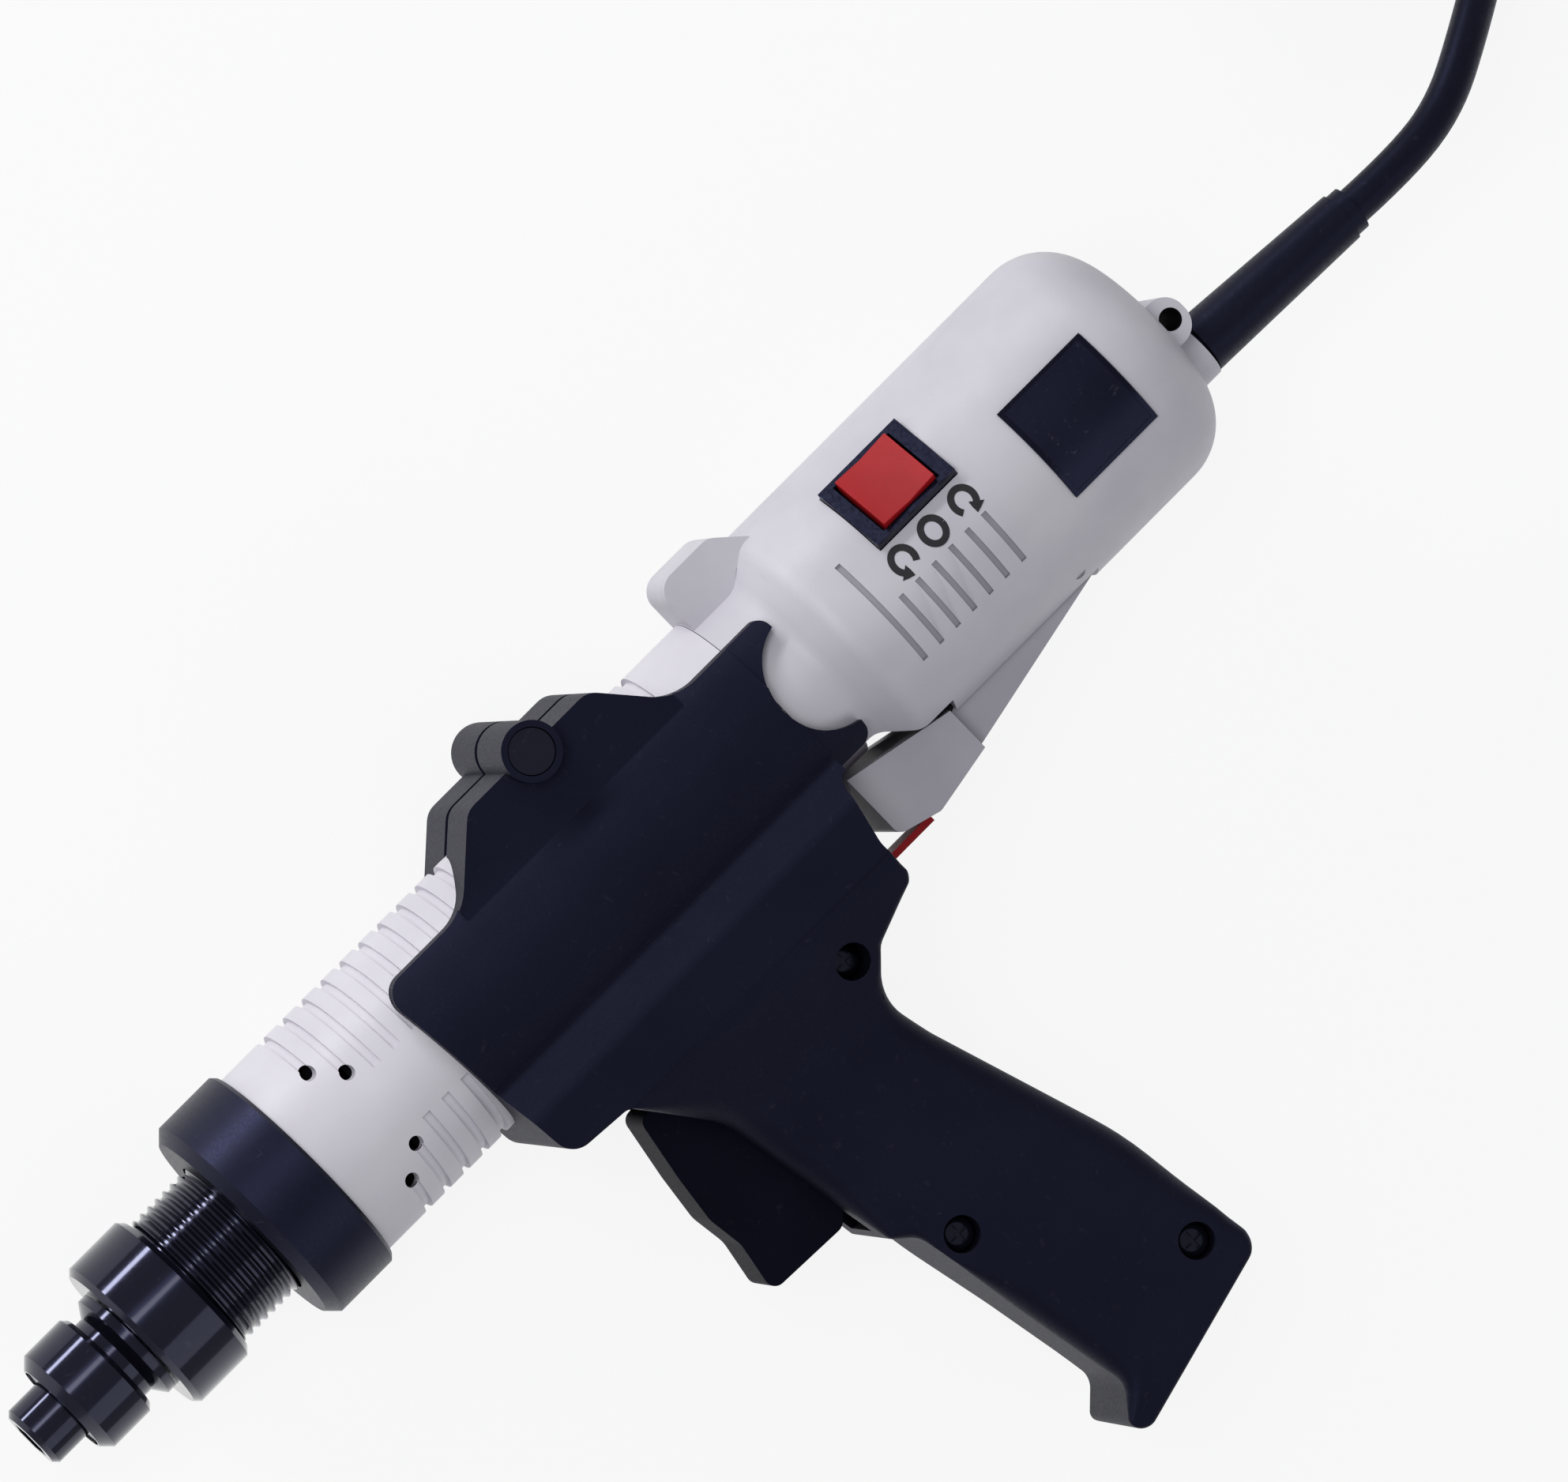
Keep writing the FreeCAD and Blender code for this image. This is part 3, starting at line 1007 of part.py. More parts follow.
def build_start_lever():
    lever = new_body("start_lever")
    extrude(lever, [[
        (LEVER_FRONT, -size.lever_cheek_front), (LEVER_PAD_REAR, -size.lever_cheek_rear),
        (LEVER_PAD_REAR, -size.lever_rear_drop),
        (LEVER_FRONT + size.lever_low_reach, -size.lever_low_drop, size.lever_round),
        (LEVER_FRONT, -size.lever_nose_drop, size.lever_round),
    ]], 2 * size.lever_pad_half, both_ways=True)
    hollow = (LEVER_FRONT - size.lever_pad_length / 2, ZERO, ZERO)
    bar(lever, size.lever_hollow_radius, 2 * size.lever_pad_length, hollow, "X", cut=True)
    arm_front = LEVER_PAD_REAR - size.small_gap
    tail = LEVER_PIVOT + size.lever_tail
    extrude(lever, [[
        (arm_front, -size.lever_arm_front), (LEVER_PAD_REAR + size.lever_arm_run, -size.lever_arm_top),
        (tail, -size.lever_tail_top), (tail, -size.lever_tail_drop), (arm_front, -size.lever_rear_drop),
    ]], 2 * size.lever_arm_half, both_ways=True)
    pin = (LEVER_PIVOT, -size.lever_pivot_drop, -size.lever_arm_half - size.overrun)
    bar(lever, size.lever_pin_radius + size.running_fit, 2 * (size.lever_arm_half + size.overrun), pin, "Z",
        cut=True)
    pin_body = new_body("lever_pin")
    bar(pin_body, size.lever_pin_radius, 2 * size.lever_pin_half,
        (LEVER_PIVOT, -size.lever_pivot_drop, -size.lever_pin_half), "Z")
    front = TUBE_REAR + size.start_switch_station
    rear = front + size.start_switch_length
    low = size.lever_arm_top - size.start_switch_rise
    switch = new_body("start_switch")
    block(switch, (front, -low, -size.board_depth),
          (rear, -low + size.start_switch_height, size.start_switch_half))
    middle = LEVER_PAD_REAR + size.lever_arm_run
    room = size.plunger_half + size.fit_gap
    block(switch, (middle - room, -low - size.overrun, -room),
          (middle + room, -low + size.plunger_room, room), cut=True)
    plunger = new_body("switch_plunger")
    block(plunger, (middle - size.plunger_half, -low - size.plunger_reach, -size.plunger_half),
          (middle + size.plunger_half, -low - size.plunger_reach + size.plunger_length, size.plunger_half))


def build_board():
    front = TUBE_REAR + size.board_station
    board = new_body("circuit_board")
    block(board, (front, -size.board_half_height, -size.board_depth - size.board_thick),
          (front + size.board_length, size.board_half_height, -size.board_depth))
    top = -float(size.board_depth)
    across = float(size.capacitor_radius)
    tall = float(size.capacitor_height)
    far = float(front + size.board_length)
    capacitor = Part.makeCylinder(across, tall, Vector(far - 2 * across, across, top))
    relay = Part.makeBox(2 * across, 1.5 * across, tall / 2, Vector(far - 5 * across, 0, top))
    bridge = Part.makeBox(across, 2 * across, tall / 3, Vector(far - 2 * across, -2.5 * across, top))
    add_shape("board_components", Part.makeCompound([capacitor, relay, bridge]))


def boot_frame():
    """The frame of the strain relief, at the boss's mouth and leaning by its own angle."""
    base = shift_vector() + Vector(float(BOSS_REAR), -float(size.boss_drop), 0)
    return FreeCAD.Placement(base, FreeCAD.Rotation(Vector(0, 0, 1), float(size.boot_angle)))


def build_strain_relief():
    boot = new_body("strain_relief", moved=False)
    neck = size.boss_depth + size.boss_reach + size.boot_slack
    tip = size.boot_length - size.boot_tip
    turn(boot, [
        (-neck - size.boot_flange, ZERO), (-neck - size.boot_flange, size.boot_flange_radius),
        (-neck, size.boot_flange_radius), (-neck, size.boot_neck_radius),
        (size.boot_slack, size.boot_neck_radius),
        (size.boot_slack, size.boot_radius), (tip, size.boot_end_radius), (tip, size.boot_tip_radius),
        (size.boot_length, size.boot_tip_radius), (size.boot_length, ZERO),
    ])
    boot.Placement = boot_frame()


def grip_corners(shares):
    """Outline corners on the grip's side from a table of shares."""
    corners = []
    for along, drop, rounding in shares:
        corner = [grip_reach(along), -grip_drop(drop)]
        if rounding:
            corner.append(size.butt_drop * rounding)
        corners.append(tuple(corner))
    return corners


def grip_edge():
    """The whole edge of the grip seen from its side."""
    first, rise, fall, last = [grip_reach(share) for share in LUG_SHARES]
    soft, firm = size.block_soft_round, size.ledge_round
    upper = [
        (SADDLE_FRONT, size.saddle_top, firm), (first, size.saddle_top, soft), (rise, LUG_RISE, firm),
        (fall, LUG_RISE, firm), (last, size.saddle_top, soft), (SADDLE_REAR, size.saddle_top, firm / 2),
    ]
    return upper + grip_corners(GRIP_EDGE_SHARES)


def grip_screw_spots():
    return grip_corners(GRIP_SCREW_SHARES)


def crank_room_corners():
    """The room round the link and the crank, open towards the start lever."""
    top = size.crank_pivot_drop - size.crank_hub - size.crank_clear
    low = size.tongue_tip_drop + size.tongue_thick + size.crank_clear
    front = CRANK_PIVOT - size.crank_hub - size.crank_clear
    rear = CRANK_PIVOT + size.crank_hub + size.crank_clear
    link_top = LINK_DROP - size.link_half_height - size.link_room
    link_low = LINK_DROP + size.link_half_height + size.link_room
    link_front = LINK_FRONT - size.link_room
    mouth = LEVER_FRONT + size.overrun
    return [
        (link_front, -link_top), (front, -link_top), (front, -top), (mouth, -top), (mouth, -low),
        (rear, -low),
        (CRANK_FRONT + size.crank_arm + size.crank_swing, -link_low), (link_front, -link_low),
    ]


def build_grip_half(label, side):
    """One half of the pistol grip; side is 1 for the half that faces up and -1 for the other."""
    half = new_body(label)
    low = -size.butt_drop - size.overrun
    extrude(half, [[
        (low, ZERO), (low, side * size.butt_half),
        (-size.waist_drop, side * size.waist_half, size.side_soft_round),
        (-size.block_drop, side * size.rest_half_width, size.block_soft_round),
        (-size.ledge_drop, side * size.rest_half_width, size.ledge_round),
        (-size.ledge_top, side * size.ledge_inner), (-size.ledge_top, ZERO),
    ]], size.saddle_length, role="YZ_Plane", offset=SADDLE_FRONT)
    bar(half, SADDLE_RADIUS, size.saddle_length, (SADDLE_FRONT, ZERO, ZERO), "X")
    lug_front = grip_reach(LUG_SHARES[0])
    lug_rear = grip_reach(LUG_SHARES[3])
    wide = (ZERO, size.lug_half) if side > 0 else (-size.lug_half, ZERO)
    block(half, (lug_front, ZERO, wide[0]), (lug_rear, LUG_RISE, wide[1]))
    room = size.half_room
    frame = [
        (SADDLE_FRONT - room, -size.butt_drop - room), (SADDLE_REAR + room, -size.butt_drop - room),
        (SADDLE_REAR + room, LUG_RISE + room), (SADDLE_FRONT - room, LUG_RISE + room),
    ]
    extrude(half, [frame, grip_edge()], 2 * (size.rest_half_width + size.overrun), cut=True, both_ways=True)
    way = "Z" if side > 0 else "-Z"
    bar(half, size.clamp_boss_radius, size.rest_half_width, (CLAMP_STATION, LUG_RISE, ZERO), way)
    far = size.rest_half_width + size.overrun
    open_side = (-far, ZERO) if side > 0 else (ZERO, far)
    block(half, (SADDLE_FRONT - room, -size.butt_drop - room, open_side[0]),
          (SADDLE_REAR + room, LUG_RISE + room, open_side[1]), cut=True)
    block(half, (SADDLE_FRONT - room, size.tube_radius / 2, -size.clamp_gap),
          (SADDLE_REAR + room, LUG_RISE + room, size.clamp_gap), cut=True)
    bar(half, size.tube_radius + size.saddle_fit, size.saddle_length + 2 * room,
        (SADDLE_FRONT - room, ZERO, ZERO), "X", cut=True)
    scallop = SADDLE_REAR - size.scallop_inset + size.scallop_radius
    bar(half, size.scallop_radius, 2 * far, (scallop, ZERO, -far), "Z", cut=True)
    step = ring_corners(SADDLE_REAR - size.step_inset, SADDLE_REAR + room, SADDLE_RADIUS - size.step_depth,
                        SADDLE_RADIUS + room)
    turn(half, step, cut=True)
    rooms = ((grip_corners(TRIGGER_ROOM_SHARES), size.trigger_half + size.trigger_room),
             (crank_room_corners(), size.crank_room),
             (grip_corners(HANDLE_ROOM_SHARES), size.grip_screw_seat))
    for corners, depth in rooms:
        extrude(half, [corners], 2 * depth, cut=True, both_ways=True)
    seat = size.rest_half_width - size.clamp_inset - size.clamp_head
    bolt = (CLAMP_STATION, LUG_RISE, ZERO)
    bar(half, size.clamp_bolt_radius + size.running_fit, far, bolt, way, cut=True)
    recess = (CLAMP_STATION, LUG_RISE, side * seat)
    bar(half, size.clamp_head_radius + size.small_gap, far, recess, way, cut=True)
    for x, y, radius, reach in (
            (TRIGGER_PIVOT, TRIGGER_PIVOT_DROP, size.trigger_pin_radius, size.trigger_pin_half),
            (CRANK_PIVOT, size.crank_pivot_drop, size.crank_pin_radius, size.crank_pin_half)):
        bar(half, radius + size.running_fit, reach + size.seat_gap, (x, -y, ZERO), way, cut=True)
    for corner in grip_screw_spots():
        depth = far if side > 0 else size.grip_screw_depth + size.seat_gap
        hole = (corner[0], corner[1], ZERO)
        bar(half, size.grip_screw_radius + size.running_fit, depth, hole, way, cut=True)
        if side > 0:
            head = (corner[0], corner[1], size.grip_screw_seat)
            bar(half, size.grip_screw_head_radius + size.small_gap, far, head, way, cut=True)


def build_grip():
    build_grip_half("grip_left", 1)
    build_grip_half("grip_right", -1)
    length = size.grip_screw_seat + size.grip_screw_depth
    screws = [screw_shape(corner[0], corner[1], size.grip_screw_seat, 1, size.grip_screw_radius,
                          size.grip_screw_head_radius, size.grip_screw_head, length)
              for corner in grip_screw_spots()]
    add_shape("grip_screws", Part.makeCompound(screws))
    seat = size.rest_half_width - size.clamp_inset - size.clamp_head
    bolt = new_body("clamp_bolt")
    bar(bolt, size.clamp_bolt_radius, 2 * seat + size.clamp_head, (CLAMP_STATION, LUG_RISE, seat), "-Z")
    bar(bolt, size.clamp_head_radius, size.clamp_head, (CLAMP_STATION, LUG_RISE, seat), "Z")
    nut = new_body("clamp_nut")
    bar(nut, size.clamp_head_radius, size.clamp_head, (CLAMP_STATION, LUG_RISE, -seat), "-Z")
    bar(nut, size.clamp_bolt_radius + size.running_fit, size.clamp_head + size.overrun,
        (CLAMP_STATION, LUG_RISE, -seat), "-Z", cut=True)


def build_trigger_train():
    trigger = new_body("trigger")
    extrude(trigger, [grip_corners(TRIGGER_SHARES)], 2 * size.trigger_half, both_ways=True)
    far = size.trigger_half + size.overrun
    bar(trigger, size.trigger_pin_radius + size.running_fit, 2 * far,
        (TRIGGER_PIVOT, -TRIGGER_PIVOT_DROP, -far), "Z", cut=True)
    pin = new_body("trigger_pin")
    bar(pin, size.trigger_pin_radius, 2 * size.trigger_pin_half,
        (TRIGGER_PIVOT, -TRIGGER_PIVOT_DROP, -size.trigger_pin_half), "Z")
    link = new_body("trigger_link")
    block(link, (LINK_FRONT, -LINK_DROP - size.link_half_height, -size.link_half),
          (LINK_REAR, -LINK_DROP + size.link_half_height, size.link_half))
    crank = new_body("lever_crank")
    arm_low = LINK_DROP + size.link_half_height
    block(crank, (CRANK_FRONT, -arm_low, -size.crank_half),
          (CRANK_FRONT + size.crank_arm, -size.crank_pivot_drop, size.crank_half))
    hub = (CRANK_PIVOT, -size.crank_pivot_drop, -size.crank_half)
    bar(crank, size.crank_hub, 2 * size.crank_half, hub, "Z")
    block(crank, (CRANK_PIVOT, -size.tongue_tip_drop - size.tongue_thick, -size.tongue_half),
          (LEVER_FRONT + size.tongue_reach, -size.tongue_tip_drop, size.tongue_half))
    far = size.crank_half + size.overrun
    bar(crank, size.crank_pin_radius + size.running_fit, 2 * far,
        (CRANK_PIVOT, -size.crank_pivot_drop, -far), "Z", cut=True)
    pin = new_body("crank_pin")
    bar(pin, size.crank_pin_radius, 2 * size.crank_pin_half,
        (CRANK_PIVOT, -size.crank_pivot_drop, -size.crank_pin_half), "Z")
    front, rear = [grip_reach(share) for share in SPRING_END_SHARES]
    spring_along_x("trigger_spring", front, rear, size.trigger_spring_radius, size.trigger_wire,
                   float(size.trigger_spring_turns), -grip_drop(SPRING_DROP_SHARE))


def rounded_route(points):
    """Straight runs joined by tangent arcs, with the radii of the arcs."""
    edges, radii = [], []
    start = points[0]
    for before, corner, after in zip(points, points[1:], points[2:]):
        first, last = corner - before, after - corner
        half = first.getAngle(last) / 2
        trim = 0.45 * min(first.Length, last.Length)
        radii.append(trim / math.tan(half))
        enter = corner - first.normalize() * trim
        leave = corner + last.normalize() * trim
        edges.append(Part.LineSegment(start, enter).toShape())
        edges.append(arc_through(enter, corner, leave))
        start = leave
    edges.append(Part.LineSegment(start, points[-1]).toShape())
    return edges, radii


def add_cord(label, points):
    edges, radii = rounded_route(points)
    radius = float(size.cord_radius)
    solid = tube_along(edges, radius)
    length = sum(edge.Length for edge in edges)
    print(label, "bend radii", [round(value, 1) for value in radii], "length", round(length, 1),
          "volume ratio", round(solid.Volume / (math.pi * radius * radius * length), 4))
    add_shape(label, solid, moved=False)


def coil_radius(turned):
    soft = float(size.coil_soft_angle)
    return float(size.coil_inner) + float(size.coil_pitch) / 360 * math.sqrt(turned * turned + soft * soft)


def build_cord():
    half_turned = 180 * float(size.coil_turns)
    heading = math.radians(float(size.coil_heading_angle))
    entry = Vector(*COIL_ENTRY)
    reach = coil_radius(half_turned)
    centre = Vector(entry.x - reach * math.sin(heading), entry.y + reach * math.cos(heading), 0)
    climb = float(size.coil_climb_angle)

    def spot(turned):
        share = min(1.0, max(0.0, (turned + climb) / (2 * climb)))
        height = entry.z + float(size.coil_layer) * share * share * (3 - 2 * share)
        angle = heading - math.pi / 2 + math.radians(turned + half_turned)
        radius = coil_radius(turned)
        return Vector(centre.x + radius * math.cos(angle), centre.y + radius * math.sin(angle), height)

    steps = round(4 * float(size.coil_turns))
    edges, places, ways = wound_edges(spot, -half_turned, half_turned, steps)
    straight = 2 * float(size.cord_radius)
    start, end = places[0] - ways[0] * straight, places[-1] + ways[-1] * straight
    edges = [Part.LineSegment(start, places[0]).toShape()] + edges
    edges.append(Part.LineSegment(places[-1], end).toShape())
    coil = tube_along(edges, float(size.cord_radius))
    length = sum(edge.Length for edge in edges)
    section = math.pi * float(size.cord_radius) ** 2
    print("cord_coil length", round(length, 1), "volume ratio", round(coil.Volume / (section * length), 4))
    print("cord_coil least gap to itself", round(least_gap(spot, half_turned), 3))
    add_shape("cord_coil", coil, moved=False)
    boot = boot_frame()
    boot_end = boot.multVec(Vector(float(size.boot_length), 0, 0))
    first = boot.multVec(Vector(float(size.boot_length + size.lead_run), 0, 0))
    run = float(size.lead_run)
    last = start - ways[0] * run
    add_cord("cord_lead", [boot_end, first] + [Vector(*point) for point in LEAD_POINTS] + [last, start])
    tail = [end, end + ways[-1] * run] + [centre + Vector(*point) for point in TAIL_POINTS]
    add_cord("cord_tail", tail)
    build_tie(centre, entry.z)
    build_plug(tail[-1], tail[-1] - tail[-2])


def least_gap(spot, half_turned):
    """The least room between turns of the coil, on points along it."""
    samples = [(angle, spot(angle)) for angle in range(-int(half_turned), int(half_turned) + 1, 6)]
    gaps = [
        (second - first).Length
        for index, (angle, first) in enumerate(samples)
        for other, second in samples[index + 1:]
        if other - angle > 90
    ]
    return min(gaps) - 2 * float(size.cord_radius)


def build_tie(centre, height):
    """A band round all turns at one place of the coil."""
    room = float(size.cord_radius + size.tie_gap)
    thick = float(size.tie_thick)
    width = float(size.tie_width)
    near = coil_radius(0) - room
    far = coil_radius(180 * float(size.coil_turns)) + room
    low, high = height - room, height + float(size.coil_layer) + room

    def sleeve(grow, length):
        box = Part.makeBox(far - near + 2 * grow, length, high - low + 2 * grow,
                           Vector(near - grow, -length / 2, low - grow))
        return box.makeFillet(room / 2 + grow, [edge for edge in box.Edges if edge.tangentAt(0).cross(
            Vector(0, 1, 0)).Length < 1e-6])

    band = sleeve(thick, width).cut(sleeve(0, 2 * width))
    band.rotate(Vector(0, 0, 0), Vector(0, 0, 1), float(size.tie_angle))
    band.translate(centre)
    add_shape("coil_tie", band, moved=False)


def build_plug(start, way):
    frame = FreeCAD.Placement(start, FreeCAD.Rotation(Vector(1, 0, 0), way))
    body_front = size.plug_boot_length
    body_rear = body_front + size.plug_body_length
    ring_rear = body_rear + size.plug_ring_length
    boot = new_body("plug_boot", moved=False)
    turn(boot, [
        (ZERO, ZERO), (ZERO, size.plug_boot_tip), (body_front, size.plug_boot_radius), (body_front, ZERO),
    ])
    boot.Placement = frame
    body = new_body("plug_body", moved=False)
    edge = size.plug_body_radius - size.plug_boot_radius
    turn(body, [
        (body_front, ZERO), (body_front, size.plug_boot_radius), (body_front + edge, size.plug_body_radius),
        (body_rear, size.plug_body_radius), (body_rear, ZERO),
    ])
    body.Placement = frame
    ring = new_body("plug_ring", moved=False)
    turn(ring, ring_corners(body_rear, ring_rear, size.plug_ring_bore, size.plug_ring_radius))
    ring.Placement = frame
    spots = around(float(size.plug_pin_ring), float(body_rear), int(float(size.plug_pin_count)), 90)
    pins = [Part.makeCylinder(float(size.plug_pin_radius), float(size.plug_pin_reach), base, Vector(1, 0, 0))
            for base in spots]
    pins = Part.makeCompound(pins)
    piece = add_shape("plug_pins", pins, moved=False)
    piece.Placement = frame


build_bit_holder()
build_clutch()
build_gears()
build_motor()
build_front_tube()
build_casing()
build_reversing_switch()
build_start_lever()
build_board()
build_strain_relief()
build_grip()
build_trigger_train()
build_cord()
doc.recompute()

faults = []
for item in doc.Objects:
    if "Invalid" in item.State or "Error" in item.State:
        owner = item.InListRecursive[-1].Label if item.InListRecursive else "document"
        faults.append(f"{item.Label} of {owner}")
for piece in nodes:
    if piece.Shape.isNull() or not piece.Shape.isValid() or piece.Shape.Volume <= 0:
        faults.append(f"{piece.Label} has no valid shape")
if faults:
    raise RuntimeError("; ".join(faults))

os.makedirs("parts", exist_ok=True)
for piece in nodes:
    piece.Shape.exportStep(f"parts/{piece.Label}.step")
print(len(nodes), "pieces written")
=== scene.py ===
"""Looks of an electric screwdriver in a clamp-on pistol grip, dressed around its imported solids.

Lengths in the tool's own frame are millimetres from the mouth of the bit socket: s along the axis, h away
from the grip and z up. Everything in the scene is metres in the part's frame.
"""

import json
import logging
import math
from contextlib import contextmanager
from dataclasses import dataclass, field
from enum import Enum
from typing import Iterator, Optional, Sequence

import bmesh
import bpy
from mathutils import Matrix, Vector
from mathutils.bvhtree import BVHTree


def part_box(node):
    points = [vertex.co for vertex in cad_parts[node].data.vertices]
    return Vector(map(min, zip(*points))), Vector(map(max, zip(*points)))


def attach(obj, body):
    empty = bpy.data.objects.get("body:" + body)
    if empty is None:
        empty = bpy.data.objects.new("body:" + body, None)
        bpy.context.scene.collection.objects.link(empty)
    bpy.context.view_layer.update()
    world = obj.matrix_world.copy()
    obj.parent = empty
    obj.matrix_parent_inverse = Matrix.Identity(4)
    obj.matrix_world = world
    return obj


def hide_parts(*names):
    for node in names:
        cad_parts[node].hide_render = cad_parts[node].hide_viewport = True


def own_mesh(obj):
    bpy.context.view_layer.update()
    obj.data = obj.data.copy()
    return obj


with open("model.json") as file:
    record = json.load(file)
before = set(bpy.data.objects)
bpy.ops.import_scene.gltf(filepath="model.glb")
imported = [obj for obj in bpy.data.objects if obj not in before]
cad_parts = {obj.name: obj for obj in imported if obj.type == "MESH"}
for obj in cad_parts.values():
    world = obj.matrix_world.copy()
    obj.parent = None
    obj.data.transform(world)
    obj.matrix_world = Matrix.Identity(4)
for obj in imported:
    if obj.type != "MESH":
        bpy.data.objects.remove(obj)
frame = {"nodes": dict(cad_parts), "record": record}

log = logging.getLogger("screwdriver")

MM = 0.001
# In metres: points of a piece that are one, points of a solid's triangles that are one, the least rounding, and
# a difference that doesn't count.
TOUCH = 1e-6
MERGE = 2e-6
LEAST_ROUND = 1e-5
SLACK = 1e-9
# In millimetres: the mouth of the bit socket in the part's frame, and the grip's screws in the tool's.
SHIFT = Vector((-151.8, 49.95, 24.0))
GRIP_SCREWS = ((150.98, -38.09), (160.54, -112.97), (133.01, -83.98))


def spot(s: float, h: float = 0.0, z: float = 0.0) -> Vector:
    """Turns a place in the tool's frame into the part's frame.

    Args:
        s: Millimetres along the axis from the mouth of the bit socket.
        h: Millimetres away from the grip.
        z: Millimetres up from the axis.

    Returns:
        The place in metres.
    """
    return (Vector((s, h, z)) + SHIFT) * MM


def linear(code: str) -> tuple[float, float, float, float]:
    """Turns an sRGB hex code into the linear colour that shaders take.

    Args:
        code: Six hexadecimal digits after a hash sign.

    Returns:
        Red, green, blue and alpha.
    """
    channels = [int(code[i:i + 2], 16) / 255 for i in (1, 3, 5)]
    curved = [c / 12.92 if c <= 0.04045 else ((c + 0.055) / 1.055) ** 2.4 for c in channels]
    return (curved[0], curved[1], curved[2], 1.0)


class Surface(Enum):
    """How a surface was made, which decides the pattern of its bump and gloss."""

    MOULDED = "moulded"
    TURNED = "turned"
    DRAWN = "drawn"
    RUBBER = "rubber"
    BOARD = "board"


@dataclass(frozen=True)
class Finish:
    """A material's looks.

    Attributes:
        name: Name of the Blender material.
        colour: Main colour as sRGB hex.
        shade: Second colour that broad patches lean to.
        surface: How the surface was made.
        roughness: Middle roughness.
        spread: How far the roughness strays each way.
        metallic: 1 for bare metal.
        coat: Weight of a clear glossy layer.
        grain_mm: Size of the finest grain.
        relief_mm: Height of the grain.
        scuff: Share of light rub marks, 0 for none.
        specular: Strength of the surface's own reflection.
        tint: Colour of that reflection.
    """

    name: str
    colour: str
    shade: str
    surface: Surface
    roughness: float
    spread: float = 0.06
    metallic: float = 0.0
    coat: float = 0.0
    grain_mm: float = 0.45
    relief_mm: float = 0.012
    scuff: float = 0.0
    specular: float = 0.5
    tint: str = "#FFFFFF"


# Painted reflection: a bluish tint laid on what black plastic, blackened steel and rubber reflect; and the tone
# of rubbed places.
BLUISH_REFLECTION = "#AFB6FF"
RUBBED = "#8C8A94"

# Light grey ABS from a finely etched mould: an even satin grey with soft highlights and a few rub marks.
CASING = Finish("grey_abs", "#D6D4DC", "#CBC8D2", Surface.MOULDED, 0.46,
                grain_mm=0.55, relief_mm=0.014, scuff=0.10)
# Pale grey nylon, moulded: a shade lighter than the casing, with fewer rub marks.
TUBE = Finish("pale_nylon", "#E3E0E8", "#DAD7E0", Surface.MOULDED, 0.44,
              grain_mm=0.55, relief_mm=0.012, scuff=0.06)
# Painted shade in the casing's slots: a duller, darker grey laid at the back of each slot to stand for the
# shade in its depth.
SLOT_SHADE = Finish("painted_slot_shade", "#A3A1AB", "#9896A0", Surface.MOULDED, 0.60, grain_mm=0.5, relief_mm=0.004)
# Grey acetal, moulded: darker than the casing and slightly slick from use.
LEVER = Finish("grey_acetal", "#B5B3BC", "#A9A6B1", Surface.MOULDED, 0.44,
               grain_mm=0.5, relief_mm=0.012, scuff=0.08)
# Glass-filled black nylon from an etched mould: inky black with a broad, weak sheen and a fine grain.
GRIP = Finish("glass_filled_nylon", "#12121D", "#0E0E17", Surface.MOULDED, 0.56,
              grain_mm=0.5, relief_mm=0.020, scuff=0.05, specular=0.26, tint=BLUISH_REFLECTION)
# Black acetal, moulded with a matt face: as black as the grip, with hardly any sheen at its edges.
TRIGGER = Finish("matt_black_acetal", "#12121D", "#0E0E17", Surface.MOULDED, 0.60,
                 grain_mm=0.5, relief_mm=0.016, scuff=0.04, specular=0.07, tint=BLUISH_REFLECTION)
# Black ABS from a polished mould: deep black with clear, narrow highlights.
BLACK = Finish("polished_black_abs", "#101018", "#0B0B12", Surface.MOULDED, 0.24,
               grain_mm=0.8, relief_mm=0.006, scuff=0.06, specular=0.36, tint=BLUISH_REFLECTION)
# Black polycarbonate sheet, rolled: flat and satin, with fine handling marks.
PLATE = Finish("polycarbonate_sheet", "#191926", "#12121C", Surface.MOULDED, 0.34,
               grain_mm=0.35, relief_mm=0.008, scuff=0.2, specular=0.32, tint=BLUISH_REFLECTION)
# Red acetal, moulded: a full red all through, with a soft gloss.
RED = Finish("red_acetal", "#C01A22", "#A8141C", Surface.MOULDED, 0.42,
             grain_mm=0.6, relief_mm=0.006, specular=0.25)
# Carbon steel, turned, blackened and lacquered: near black with sharp bright lines along its edges.
DARK = Finish("lacquered_black_steel", "#12121B", "#0C0C14", Surface.TURNED, 0.13, 0.03, 0.0, 0.45,
              0.5, 0.003, 0.06, 0.40, BLUISH_REFLECTION)
# Carbon steel, turned and left in black oxide: the same black, but its highlights spread out.
OXIDE = Finish("black_oxide_steel", "#14141E", "#0E0E16", Surface.TURNED, 0.40, 0.05, 0.0, 0.0,
               0.5, 0.003, 0.06, 0.40, BLUISH_REFLECTION)
# Bearing steel, turned and ground bright: a cool grey mirror with faint turning lines.
STEEL = Finish("ground_steel", "#B4B4B8", "#9C9CA2", Surface.TURNED, 0.28, 0.08, 1.0, 0.0, 0.4, 0.004)
# Spring wire, drawn and tempered: a darker grey metal, bright along the coils.
SPRING = Finish("spring_wire", "#8F9096", "#77787E", Surface.DRAWN, 0.30, 0.08, 1.0, 0.0, 0.3, 0.004)
# Enamelled copper wire, drawn and wound: a warm brown metal.
COPPER = Finish("enamelled_copper", "#B77A4A", "#9A6038", Surface.DRAWN, 0.34, 0.08, 1.0, 0.0, 0.4, 0.006)
